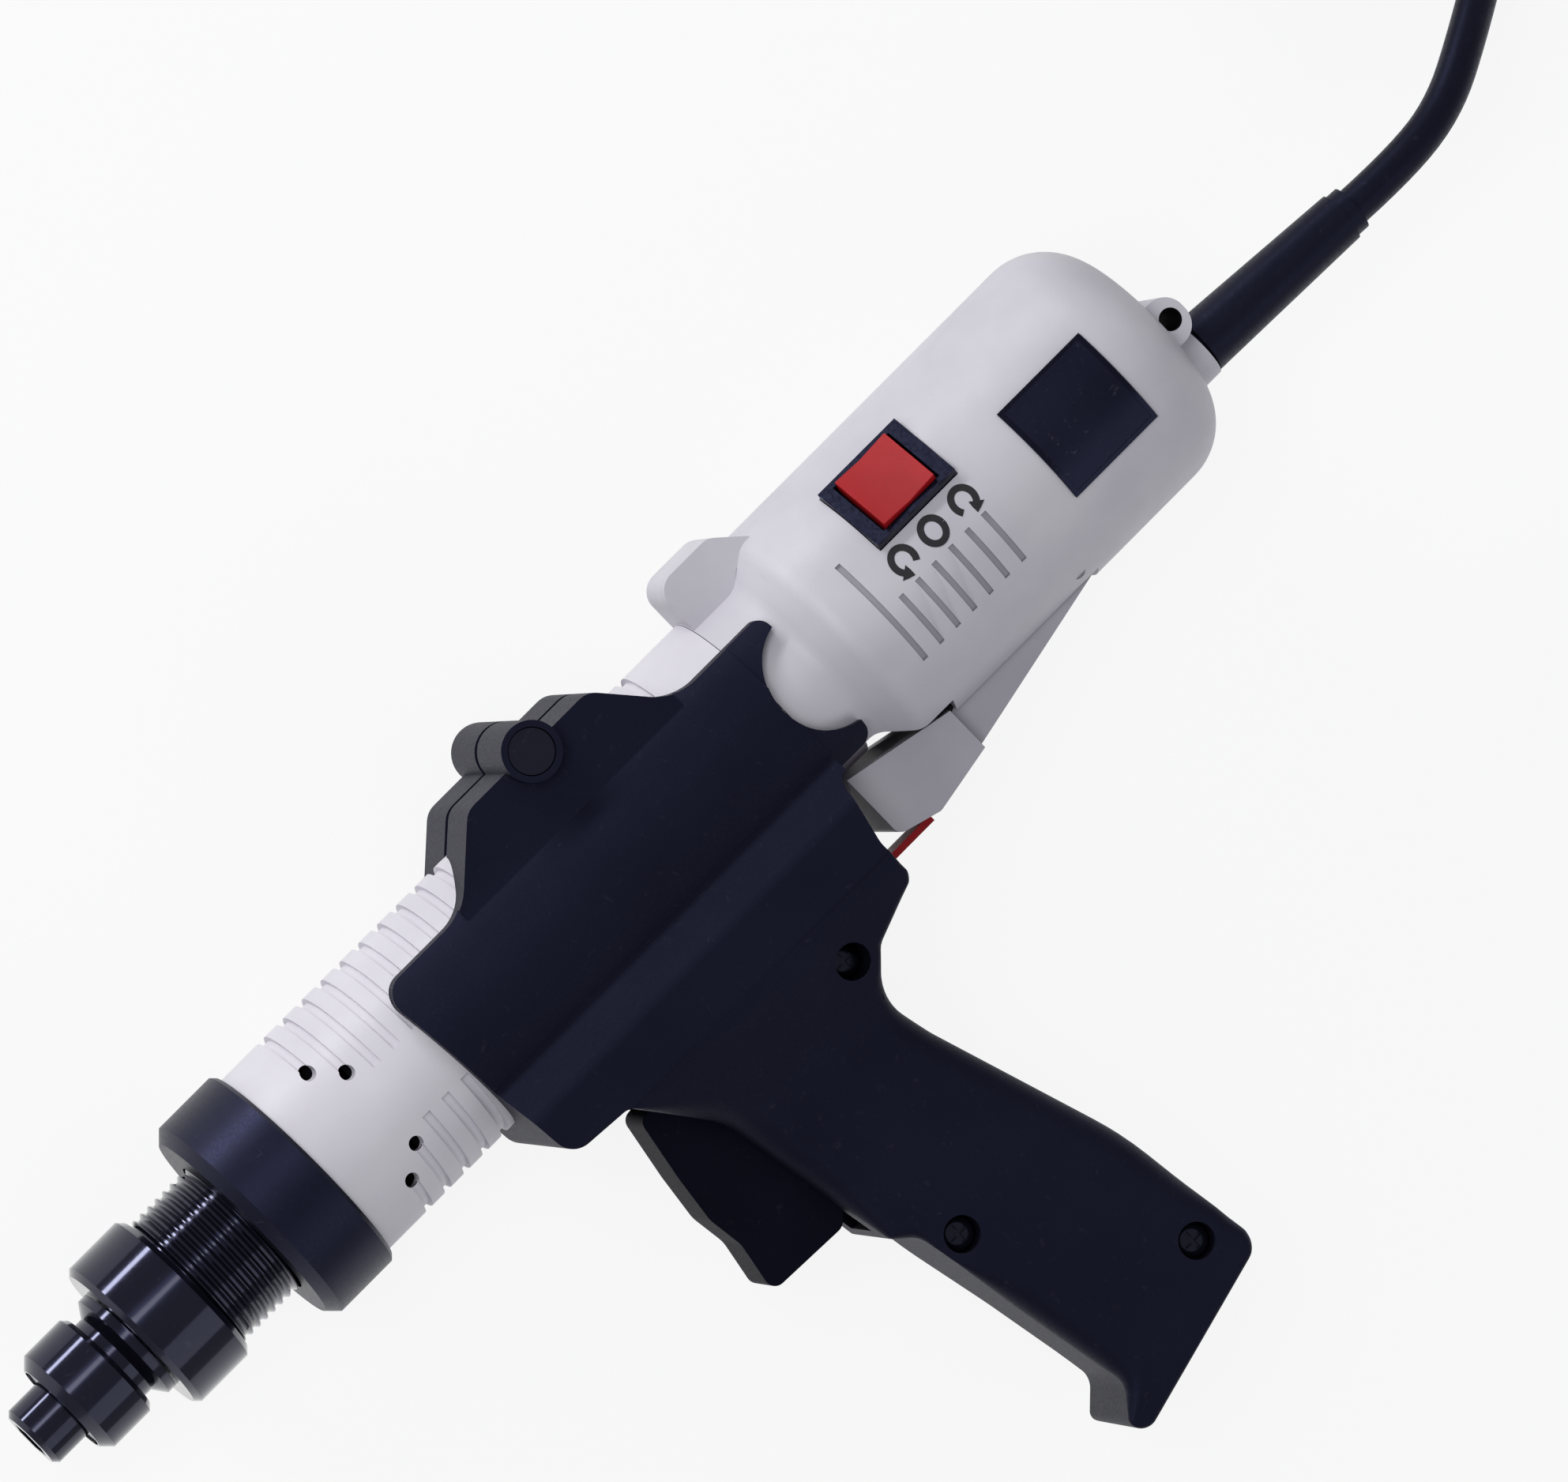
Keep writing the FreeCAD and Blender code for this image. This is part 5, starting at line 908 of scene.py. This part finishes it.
@dataclass
class Rim:
    """A corner of the grip's outline and the way its edge is rolled over.

    Attributes:
        start: The corner before rounding, in metres.
        inward: Direction into the side face, long enough to keep a parallel distance.
        radius: Rounding there in metres.
        neighbours: Corners beside it.
    """

    start: Vector
    inward: Vector
    radius: float
    neighbours: list[bmesh.types.BMVert] = field(default_factory=list)


@dataclass
class Grip:
    """The pistol grip's two halves with the edges of their sides rolled over.

    Attributes:
        bench: Tools to work with.
        round_mm: Rounding of the long edges.
        butt_mm: Rounding of the butt's edge.
        flat_mm: Width of the flat strip inside the rounding, which keeps the side's shading flat.
        steps: Faces across the rounding.
        ease: How fast the rounding may change along the edge.
        stride_mm: Longest stretch of edge with one rounding.
        recess_mm: Radius of a screw's recess with the flat that is left round it.
        saddle_foot_mm: Where the saddle ends and the handle's sides begin.
        side_top_mm: Where the search for a side's faces starts, below the saddle.
        side_least_mm: How far from the middle plane a side's faces lie at least.
        side_lean: Least share of their direction that points sideways.
        butt_lean: Share of the way in that runs up from the butt's edge.
        least_square: Limit of the stretch at an outline's pointed corners.
        rounds: Most passes over the outline that ease its rounding.
        crowding: Least share of its length that a stretch of edge keeps when it moves in.
        shrink: What is left of the rounding where it doesn't.
        whole_deg: Faces bent less than this are one flat.
        step_mm: Largest step in a side that its rounding follows.
        sharp_deg: Edges bent more than this stay sharp.
        plain_mm2: Least area of a flat that is filled anew inside its rolled edge.
        saddle_mm: Radii of the saddle and of the step at its rear.
    """

    bench: Workbench
    round_mm: float = 4.4
    butt_mm: float = 0.9
    flat_mm: float = 0.35
    steps: int = 6
    ease: float = 0.30
    stride_mm: float = 3.0
    recess_mm: float = 4.4
    saddle_foot_mm: float = -29.0
    side_top_mm: float = -27.5
    side_least_mm: float = 11.0
    side_lean: float = 0.35
    butt_lean: float = 0.85
    least_square: float = 0.6
    rounds: int = 80
    crowding: float = 0.2
    shrink: float = 0.85
    whole_deg: float = 0.2
    step_mm: float = 4.0
    sharp_deg: float = 32.0
    plain_mm2: float = 150.0
    saddle_mm: tuple[float, float] = (22.8, 22.1)

    def side_faces(self, shell: bmesh.types.BMesh, way: float) -> list[bmesh.types.BMFace]:
        """Finds the faces of a half's outer side below the saddle.

        Args:
            shell: The half.
            way: 1 for the upper half and -1 for the lower one.

        Returns:
            The faces.
        """
        chosen = []
        for face in shell.faces:
            _, h, z = face.calc_center_median() / MM - SHIFT
            if face.normal.z * way > self.side_lean and h < self.side_top_mm and z * way > self.side_least_mm:
                chosen.append(face)
        return chosen

    def outline(self, faces: list[bmesh.types.BMFace]) -> list[bmesh.types.BMLoop]:
        """Finds the edges that bound the side.

        Args:
            faces: The side's faces.

        Returns:
            The corners in the side's faces from which those edges start.
        """
        inside = set(faces)
        return [loop for face in faces for loop in face.loops
                if all(other.face is face or other.face not in inside for other in loop.edge.link_loops)]

    def rims(self, faces: list[bmesh.types.BMFace]) -> dict[bmesh.types.BMVert, Rim]:
        """Works out the roll at each corner of the side's outline.

        Args:
            faces: The side's faces.

        Returns:
            The roll of each corner.
        """
        found: dict[bmesh.types.BMVert, list[Vector]] = {}
        beside: dict[bmesh.types.BMVert, list[bmesh.types.BMVert]] = {}
        for loop in self.outline(faces):
            first, last = loop.vert, loop.link_loop_next.vert
            inward = loop.face.normal.cross(last.co - first.co)
            inward.z = 0.0
            for vert, other in ((first, last), (last, first)):
                found.setdefault(vert, []).append(inward.normalized())
                beside.setdefault(vert, []).append(other)
        rims = {}
        for vert, normals in found.items():
            middle = sum(normals, Vector()).normalized()
            stretch = 1.0 / max(self.least_square, middle.dot(normals[0]))
            s, h, _ = vert.co / MM - SHIFT
            wanted = self.butt_mm if middle.y > self.butt_lean else self.round_mm
            room = min(math.hypot(s - x, h - y) for x, y in GRIP_SCREWS) - self.recess_mm
            wanted = max(0.0, min(wanted, room)) if h < self.saddle_foot_mm else 0.0
            rims[vert] = Rim(vert.co.copy(), middle * stretch, wanted * MM, beside[vert])
        return rims

    def settle(self, rims: dict[bmesh.types.BMVert, Rim]) -> None:
        """Lessens the rounding where the outline bends too tightly for it, with easy changes between.

        Args:
            rims: The roll of each corner.
        """
        for _ in range(self.rounds):
            steady = True
            for rim in rims.values():
                for other in rim.neighbours:
                    far = rims[other]
                    along = far.start - rim.start
                    moved = along + far.inward * far.radius - rim.inward * rim.radius
                    crowded = moved.dot(along) < self.crowding * along.dot(along)
                    if crowded and max(rim.radius, far.radius) > LEAST_ROUND:
                        rim.radius *= self.shrink
                        far.radius *= self.shrink
                        steady = False
                    limit = far.radius + self.ease * along.length
                    if rim.radius > limit + SLACK:
                        rim.radius = limit
                        steady = False
            if steady:
                break

    def lay(self, rims: dict[bmesh.types.BMVert, Rim],
            rings: list[dict[bmesh.types.BMVert, bmesh.types.BMVert]], surface: BVHTree, way: float) -> None:
        """Sets the points of the rounding.

        Args:
            rims: The roll of each corner.
            rings: The points of each step of the rounding, by the corner that they belong to.
            surface: The half before rounding.
            way: 1 for the upper half and -1 for the lower one.
        """
        for start, rim in rims.items():
            for index, ring in enumerate(rings):
                turned = math.radians(90.0) * min(1.0, index / self.steps)
                inset = rim.radius * (1.0 - math.cos(turned))
                if index > self.steps:
                    inset += min(self.flat_mm * MM, rim.radius / 2)
                place = rim.start + rim.inward * inset
                hit = surface.ray_cast(Vector((place.x, place.y, way)), Vector((0, 0, -way)))[0]
                if rim.radius and hit is not None and abs(hit.z - rim.start.z) < self.step_mm * MM:
                    place.z = hit.z
                place.z -= way * rim.radius * (1.0 - math.sin(turned))
                ring[start].co = place

    def refill(self, shell: bmesh.types.BMesh, faces: list[bmesh.types.BMFace], way: float) -> None:
        """Fills a flat of the side anew, because its old triangles fold over where the outline has moved in.

        Args:
            shell: The half.
            faces: The flat's faces.
            way: 1 for the upper half and -1 for the lower one.
        """
        inside = set(faces)
        edges = dict.fromkeys(edge for face in faces for edge in face.edges)
        bound = [edge for edge in edges if sum(face in inside for face in edge.link_faces) == 1]
        bmesh.ops.delete(shell, geom=faces, context="FACES")
        made = bmesh.ops.triangle_fill(shell, use_beauty=True, edges=bound, normal=(0.0, 0.0, way))["geom"]
        for face in made:
            if isinstance(face, bmesh.types.BMFace):
                face.normal_update()
                if face.normal.z * way < 0.0:
                    face.normal_flip()

    def roll(self, piece: bpy.types.Object, way: float) -> None:
        """Rolls the outline's edges over into the side.

        Args:
            piece: A half of the grip.
            way: 1 for the upper half and -1 for the lower one.
        """
        shell = bmesh.new()
        shell.from_mesh(piece.data)
        flat = shell.faces.layers.int.new("flat")
        shell.normal_update()
        below = [edge for edge in shell.edges
                 if max(vert.co.y for vert in edge.verts) / MM - SHIFT.y < self.saddle_foot_mm]
        bmesh.ops.dissolve_limit(shell, angle_limit=math.radians(self.whole_deg), verts=[], edges=below)
        shell.normal_update()
        surface = BVHTree.FromBMesh(shell)
        faces = self.side_faces(shell, way)
        for edge in dict.fromkeys(loop.edge for loop in self.outline(faces)):
            cuts = int(edge.calc_length() / (self.stride_mm * MM))
            if cuts:
                bmesh.ops.bisect_edges(shell, edges=[edge], cuts=cuts)
        rims = self.rims(faces)
        self.settle(rims)
        planes: dict[tuple[float, ...], int] = {}
        areas: dict[int, float] = {}
        for face in faces:
            plane = planes.setdefault(tuple(round(part, 2) for part in face.normal), len(planes) + 1)
            face[flat] = plane
            areas[plane] = areas.get(plane, 0.0) + face.calc_area() / MM ** 2
        rings = [{vert: vert for vert in rims}]
        for _ in range(self.steps + 1):
            made = bmesh.ops.extrude_face_region(shell, geom=faces)["geom"]
            bmesh.ops.delete(shell, geom=[face for face in faces if face.is_valid], context="FACES_ONLY")
            faces = [item for item in made if isinstance(item, bmesh.types.BMFace)]
            fresh = {item for item in made if isinstance(item, bmesh.types.BMVert)}
            rings.append({start: next(e.other_vert(old) for e in old.link_edges if e.other_vert(old) in fresh)
                          for start, old in rings[-1].items()})
        inner = set(faces)
        for face in shell.faces:
            if face not in inner:
                face[flat] = 0
        self.lay(rims, rings, surface, way)
        bmesh.ops.remove_doubles(shell, verts=shell.verts, dist=MERGE)
        bmesh.ops.dissolve_degenerate(shell, edges=shell.edges, dist=TOUCH)
        for plane, area in areas.items():
            if area > self.plain_mm2:
                self.refill(shell, [face for face in shell.faces if face[flat] == plane], way)
        shell.faces.layers.int.remove(flat)
        bmesh.ops.delete(shell, geom=[edge for edge in shell.edges if not edge.link_faces], context="EDGES")
        shell.to_mesh(piece.data)
        shell.free()

    def build(self) -> None:
        """Makes both halves."""
        for side, way in (("left", 1.0), ("right", -1.0)):
            half = self.bench.copy(f"grip_{side}", f"grip_shell_{side}")
            self.roll(half, way)
            self.bench.shade_flats(self.bench.tidy(half, self.sharp_deg))
            self.bench.shade_round(half, self.saddle_mm)
            self.bench.done(half, GRIP, "housing", "grip_plastic", [f"grip_{side}"])


@dataclass
class Tube:
    """The grooved tube, shaded as the round that it is.

    Attributes:
        bench: Tools to work with.
        ridge_mm: Radius of the ridges.
        floor_mm: Radius of the grooves' floors.
        sharp_deg: Edges bent more than this stay sharp.
        step_deg: Angle that a strip of the ridges spans.
        snap_mm: Points nearer than this to a cut lie on it, and faces no longer than this stay as they are.
    """

    bench: Workbench
    ridge_mm: float = 19.7
    floor_mm: float = 18.8
    sharp_deg: float = 32.0
    step_deg: int = 4
    snap_mm: float = 0.01

    def round_ridges(self, skin: bpy.types.Object) -> None:
        """Cuts the long triangles on the ridges into narrow strips and sets these out to the ridges' radius.

        Args:
            skin: A copy of the tube.
        """
        shell = bmesh.new()
        shell.from_mesh(skin.data)
        radius = self.ridge_mm * MM
        axis = spot(0.0)

        def rise(vert: bmesh.types.BMVert) -> Vector:
            """Gives a point's way out from the tool's axis."""
            return Vector((0.0, vert.co.y - axis.y, vert.co.z - axis.z))

        def on_ridge(face: bmesh.types.BMFace) -> bool:
            """Tells whether a face lies along a ridge's surface."""
            places = [vert.co.x for vert in face.verts]
            near = all(abs(rise(vert).length - radius) < self.bench.near_mm * MM for vert in face.verts)
            return near and max(places) - min(places) > self.snap_mm * MM

        faces = [face for face in shell.faces if on_ridge(face)]
        for degrees in range(0, 180, self.step_deg):
            turned = math.radians(degrees)
            parts = dict.fromkeys(part for face in faces for part in (*face.verts, *face.edges))
            cut = bmesh.ops.bisect_plane(shell, geom=[*parts, *faces], dist=self.snap_mm * MM,
                                         plane_co=axis, plane_no=(0.0, math.cos(turned), math.sin(turned)))
            faces = [part for part in cut["geom"] if isinstance(part, bmesh.types.BMFace)]
        for vert in dict.fromkeys(vert for face in faces for vert in face.verts):
            out = rise(vert)
            vert.co += out * (radius / out.length - 1.0)
        shell.to_mesh(skin.data)
        shell.free()

    def build(self) -> None:
        """Lays the tube's skin."""
        skin = self.bench.copy("front_tube", "tube_skin")
        self.round_ridges(skin)
        self.bench.tidy(skin, self.sharp_deg)
        self.bench.shade_round(skin, (self.ridge_mm, self.floor_mm))
        self.bench.done(skin, TUBE, "housing", "casing_plastic", ["front_tube"])


@dataclass
class Trim:
    """The sleeve in the hanger's hole, painted shade: near black, put in the hole to stand for the shade in its
    depth.

    Attributes:
        bench: Tools to work with.
        hole_mm: Middle of the hole, along the tool and away from the grip.
        outline_mm: Outline of the sleeve of painted shade, along the hole and from its axis.
        sides: Flats round it.
    """

    bench: Workbench
    hole_mm: tuple[float, float] = (265.95, -1.2)
    outline_mm: tuple[tuple[float, float], ...] = (
        (-11.03, 1.8), (-11.03, 1.95), (-10.9, 1.99), (10.9, 1.99), (11.03, 1.95), (11.03, 1.8),
        (-11.03, 1.8))
    sides: int = 40

    def build(self) -> None:
        """Makes the sleeve of painted shade."""
        hole_shade = self.bench.lathe("hanger_hole_shade", self.outline_mm, spot(*self.hole_mm), Vector((0, 0, 1)),
                                 self.sides)
        self.bench.done(hole_shade, SHADOW, "housing", "black_gloss")


@dataclass
class Cord:
    """The cord from the strain relief to its plug, with the unseen length wound up and tied.

    Attributes:
        bench: Tools to work with.
        radius: Half the cord's thickness in metres.
        lead: Way from the strain relief's end towards the coil, in millimetres.
        tail: Way from the coil to the plug about the coil's centre, in millimetres.
        turns: Turns of the coil.
        per_turn: Points in each turn.
        inner_mm: Least radius of the coil, without its rounded start.
        pitch_mm: How much the radius grows in a turn.
        blend_deg: Angle over which the innermost turn is rounded.
        low_mm: Height of the cord's middle in the lower half of the coil.
        rise_mm: How much higher the upper half lies.
        entry_deg: Direction in which the cord enters the coil.
        entry_mm: Where it does.
        root_mm: Where the strain relief starts, in the tool's frame.
        lean_deg: Direction of the strain relief.
        boot_mm: Distances from that start to the relief's end and to the next point of the way.
        straight_mm: Distances of the points on the straight ways into the coil and out of it.
        sides: Fineness of the curve, along it and round it.
    """

    bench: Workbench
    radius: float = 0.0034
    lead: tuple[tuple[float, float, float], ...] = (
        (176.0, 39.5, 21.2), (188.2, 44.8, 17.0), (203.0, 51.8, 10.0))
    tail: tuple[tuple[float, float, float], ...] = (
        (43.6, 39.9, 11.6), (26.0, 58.0, 10.0), (2.9, 65.2, 8.5), (-20.0, 63.0, 8.5))
    turns: float = 6.16
    per_turn: int = 16
    inner_mm: float = 24.0
    pitch_mm: float = 8.0
    blend_deg: float = 30.0
    low_mm: float = 5.0
    rise_mm: float = 7.6
    entry_deg: float = 32.0
    entry_mm: tuple[float, float] = (234.25, 70.4)
    root_mm: tuple[float, float, float] = (267.9, -9.2, 0.0)
    lean_deg: float = -3.0
    boot_mm: tuple[float, float] = (35.7, 47.4)
    straight_mm: tuple[float, float] = (6.8, 18.5)
    sides: int = 6

    def coil_radius(self, turned: float) -> float:
        """Radius of the winding.

        Args:
            turned: Degrees from its innermost point.

        Returns:
            Millimetres.
        """
        rounded = math.sqrt(turned * turned + self.blend_deg * self.blend_deg)
        return self.inner_mm + self.pitch_mm / 360 * rounded

    def coil_point(self, turned: float, centre: Vector) -> Vector:
        """A place on the winding.

        Args:
            turned: Degrees from its innermost point.
            centre: Middle of the coil in millimetres.

        Returns:
            Millimetres in the part's frame.
        """
        share = min(1.0, max(0.0, (turned + 90.0) / 180.0))
        height = self.low_mm + self.rise_mm * share * share * (3 - 2 * share)
        angle = math.radians(self.entry_deg - 90.0 + turned + 180.0 * self.turns)
        reach = self.coil_radius(turned)
        return Vector((centre.x + reach * math.cos(angle), centre.y + reach * math.sin(angle), height))

    def route(self) -> list[Vector]:
        """Control points of the whole cord.

        Returns:
            Places in millimetres.
        """
        half = 180.0 * self.turns
        reach = self.coil_radius(half)
        turned = math.radians(self.entry_deg)
        x, y = self.entry_mm
        centre = Vector((x - reach * math.sin(turned), y + reach * math.cos(turned), 0.0))
        steps = round(2 * half / 360 * self.per_turn)
        winding = [self.coil_point(-half + 2 * half * i / steps, centre) for i in range(steps + 1)]
        into = (self.coil_point(-half + 0.01, centre) - winding[0]).normalized()
        out = (winding[-1] - self.coil_point(half - 0.01, centre)).normalized()
        lean = math.radians(self.lean_deg)
        heading = Vector((math.cos(lean), math.sin(lean), 0.0))
        root = Vector(self.root_mm) + SHIFT
        points = [root + heading * far for far in self.boot_mm]
        points += [Vector(p) for p in self.lead]
        points += [winding[0] - into * far for far in reversed(self.straight_mm)]
        points += winding
        points += [winding[-1] + out * far for far in self.straight_mm]
        points += [centre + Vector(p) for p in self.tail]
        return points

    def build(self) -> None:
        """Lays the cord as one smooth curve."""
        points = self.route()
        curve = bpy.data.curves.new("cord", "CURVE")
        curve.dimensions = "3D"
        curve.bevel_depth = self.radius
        curve.bevel_resolution = curve.resolution_u = self.sides
        curve.use_fill_caps = True
        spline = curve.splines.new("NURBS")
        spline.points.add(len(points) - 1)
        for control, place in zip(spline.points, points):
            control.co = (place.x * MM, place.y * MM, place.z * MM, 1.0)
        spline.order_u = 3
        spline.use_endpoint_u = True
        cord = bpy.data.objects.new("cord", curve)
        bpy.context.scene.collection.objects.link(cord)
        self.bench.done(cord, RUBBER, "housing", "cord_rubber", ["cord_lead", "cord_coil", "cord_tail"])


@dataclass
class Studio:
    """Floor, light and camera.

    Attributes:
        toward: Direction from the tool to the camera.
        centre: What the picture's middle shows, in the tool's frame.
        width_m: Width of the picture at that distance.
        distance_m: Distance of the camera.
        roll_deg: Angle of the tool's axis in the picture.
        clip_m: Nearest and farthest that the camera sees.
        floor_m: Width of the floor.
        floor_drop_m: How far it lies below the part's lowest plane.
        floor_tone: Its colour.
        floor_roughness: Its dullness.
        floor_specular: Its sheen.
        floor_white: Share of plain white in what is seen of it.
        sky_tone: Colour of the light from all round.
        sky_strength: Its strength.
        aim: Where the lamps point.
        lamps: Name of each lamp, its place from there, its width and height, all in metres, and its watts.
    """

    toward: Vector = field(default_factory=lambda: Vector((-0.143, 0.131, 0.981)).normalized())
    centre: Vector = field(default_factory=lambda: spot(171.3, -6.7, 0.0))
    width_m: float = 0.2614
    distance_m: float = 2.4
    roll_deg: float = 45.1
    clip_m: tuple[float, float] = (0.05, 20.0)
    floor_m: float = 6.0
    floor_drop_m: float = 0.0004
    floor_tone: tuple[float, float, float, float] = (0.86, 0.86, 0.87, 1.0)
    floor_roughness: float = 0.9
    floor_specular: float = 0.1
    floor_white: float = 0.88
    sky_tone: tuple[float, float, float, float] = (0.93, 0.94, 0.97, 1.0)
    sky_strength: float = 0.30
    aim: Vector = field(default_factory=lambda: spot(150.0, -20.0, 0.0))
    lamps: tuple[tuple[str, tuple[float, float, float], tuple[float, float], float], ...] = (
        ("key", (-0.06, 1.10, 0.30), (0.9, 0.12), 6.0),
        ("fill", (0.25, -0.9, 0.9), (1.0, 0.8), 2.0),
        ("top", (-0.35, 0.45, 1.2), (0.7, 0.5), 4.6))

    def camera(self) -> None:
        """Places the camera at the photograph's angle."""
        along = Vector((1, 0, 0))
        ahead = (along - self.toward * along.dot(self.toward)).normalized()
        beside = self.toward.cross(ahead)
        turn = math.radians(self.roll_deg)
        right = ahead * math.cos(turn) - beside * math.sin(turn)
        up = ahead * math.sin(turn) + beside * math.cos(turn)
        data = bpy.data.cameras.new("camera")
        data.sensor_fit = "HORIZONTAL"
        data.angle = 2 * math.atan(self.width_m / 2 / self.distance_m)
        data.clip_start, data.clip_end = self.clip_m
        camera = bpy.data.objects.new("camera", data)
        turned = Matrix((right, up, self.toward)).transposed().to_4x4()
        camera.matrix_world = Matrix.Translation(self.centre + self.toward * self.distance_m) @ turned
        bpy.context.scene.collection.objects.link(camera)
        bpy.context.scene.camera = camera

    def lamp(self, name: str, away: tuple[float, float, float], size: tuple[float, float],
             watts: float) -> None:
        """Hangs a soft rectangular lamp.

        Args:
            name: Name of the lamp.
            away: Where it hangs from what it points at, in metres.
            size: Width and height in metres.
            watts: Power.
        """
        data = bpy.data.lights.new(name, "AREA")
        data.shape = "RECTANGLE"
        data.size, data.size_y = size
        data.energy = watts
        lamp = bpy.data.objects.new(name, data)
        place = self.aim + Vector(away)
        turned = (place - self.aim).to_track_quat("Z", "Y").to_matrix().to_4x4()
        lamp.matrix_world = Matrix.Translation(place) @ turned
        bpy.context.scene.collection.objects.link(lamp)

    def floor(self) -> None:
        """Lays the pale floor, which shows nearly white and keeps the shadow."""
        bpy.ops.mesh.primitive_plane_add(size=self.floor_m, location=(0, 0, -self.floor_drop_m))
        floor = bpy.context.object
        floor.name = "floor"
        material = bpy.data.materials.new("pale_floor")
        material.use_nodes = True
        tree = material.node_tree
        shader = tree.nodes["Principled BSDF"]
        shader.inputs["Base Color"].default_value = self.floor_tone
        shader.inputs["Roughness"].default_value = self.floor_roughness
        shader.inputs["Specular IOR Level"].default_value = self.floor_specular
        glow = tree.nodes.new("ShaderNodeEmission")
        glow.inputs["Color"].default_value = (1.0, 1.0, 1.0, 1.0)
        path = tree.nodes.new("ShaderNodeLightPath")
        seen = path.outputs["Is Camera Ray"]
        for ray in ("Is Glossy Ray", "Is Transmission Ray"):
            either = tree.nodes.new("ShaderNodeMath")
            either.operation = "MAXIMUM"
            tree.links.new(seen, either.inputs[0])
            tree.links.new(path.outputs[ray], either.inputs[1])
            seen = either.outputs[0]
        share = tree.nodes.new("ShaderNodeMath")
        share.operation = "MULTIPLY"
        share.inputs[1].default_value = self.floor_white
        tree.links.new(seen, share.inputs[0])
        mix = tree.nodes.new("ShaderNodeMixShader")
        for index, node in enumerate((share, shader, glow)):
            tree.links.new(node.outputs[0], mix.inputs[index])
        tree.links.new(mix.outputs[0], tree.nodes["Material Output"].inputs["Surface"])
        floor.data.materials.append(material)

    def world(self) -> None:
        """Fills the surroundings with plain white light."""
        world = bpy.data.worlds.new("studio")
        bpy.context.scene.world = world
        world.use_nodes = True
        backdrop = world.node_tree.nodes["Background"]
        backdrop.inputs["Color"].default_value = self.sky_tone
        backdrop.inputs["Strength"].default_value = self.sky_strength
        bpy.context.scene.view_settings.view_transform = "Standard"

    def build(self) -> None:
        """Sets the whole studio up."""
        self.camera()
        self.floor()
        self.world()
        for lamp in self.lamps:
            self.lamp(*lamp)


@dataclass
class Solids:
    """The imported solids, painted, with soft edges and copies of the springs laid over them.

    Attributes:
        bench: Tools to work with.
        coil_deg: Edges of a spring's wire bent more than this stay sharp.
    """

    bench: Workbench
    coil_deg: float = 40.0

    def finish_nodes(self) -> None:
        """Gives every CAD node its material."""
        slots = {entry["node"]: entry["material_slot"] for entry in frame["record"]["subparts"]}
        for name, node in frame["nodes"].items():
            self.bench.paints.paint(node, NODE_FINISH.get(name, SLOT_FINISH[slots[name]]))

    def round_edges(self) -> None:
        """Puts softened pieces over the sharp-edged mouldings."""
        # Node, name of the piece, rounding in millimetres, finish, body and slot.
        plans = (
            ("reversing_rocker", "rocker_cap", 0.7, RED, "rocker", "red_plastic"),
            ("switch_body", "switch_frame", 0.35, BLACK, "housing", "black_gloss"),
            ("trigger", "trigger_blade", 1.2, TRIGGER, "trigger_body", "black_gloss"),
            ("start_lever", "lever_pad", 0.8, LEVER, "lever", "casing_plastic"),
            ("coil_tie", "tie_band", 0.25, BLACK, "housing", "black_gloss"),
        )
        for node, name, width, finish, body, slot in plans:
            piece = self.bench.soften(node, name, width)
            self.bench.done(piece, finish, body, slot, [node])

    def springs(self) -> None:
        """Lays copies of the springs over the solid ones."""
        # Node, body, joint that presses it, place of its fixed end in millimetres, share that is left.
        plans = (
            ("collar_spring", "spindle", "collar_slide", 8.6, 0.42),
            ("clutch_spring", "housing", "seat_slide", 49.0, 0.735),
            ("trigger_spring", "housing", "trigger_pull", 140.8, 0.68),
        )
        for node, body, joint, fixed_mm, keep in plans:
            coils = self.bench.tidy(self.bench.copy(node, f"{node}_coils"), self.coil_deg)
            self.bench.done(coils, SPRING, body, "spring_steel", [node])
            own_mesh(coils)

    def build(self) -> None:
        """Dresses the solids."""
        self.finish_nodes()
        self.round_edges()
        self.springs()


def main() -> None:
    """Builds the scene in order."""
    logging.basicConfig(level=logging.INFO)
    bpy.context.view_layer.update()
    bench = Workbench(Paintbox())
    assemblies = (Solids(bench), Nose(bench), Tube(bench), CasingMarks(bench), Screws(bench), Grip(bench),
                  Trim(bench), Cord(bench), Studio())
    for assembly in assemblies:
        assembly.build()
        log.info("%s built", type(assembly).__name__)


if __name__ == "__main__":
    main()
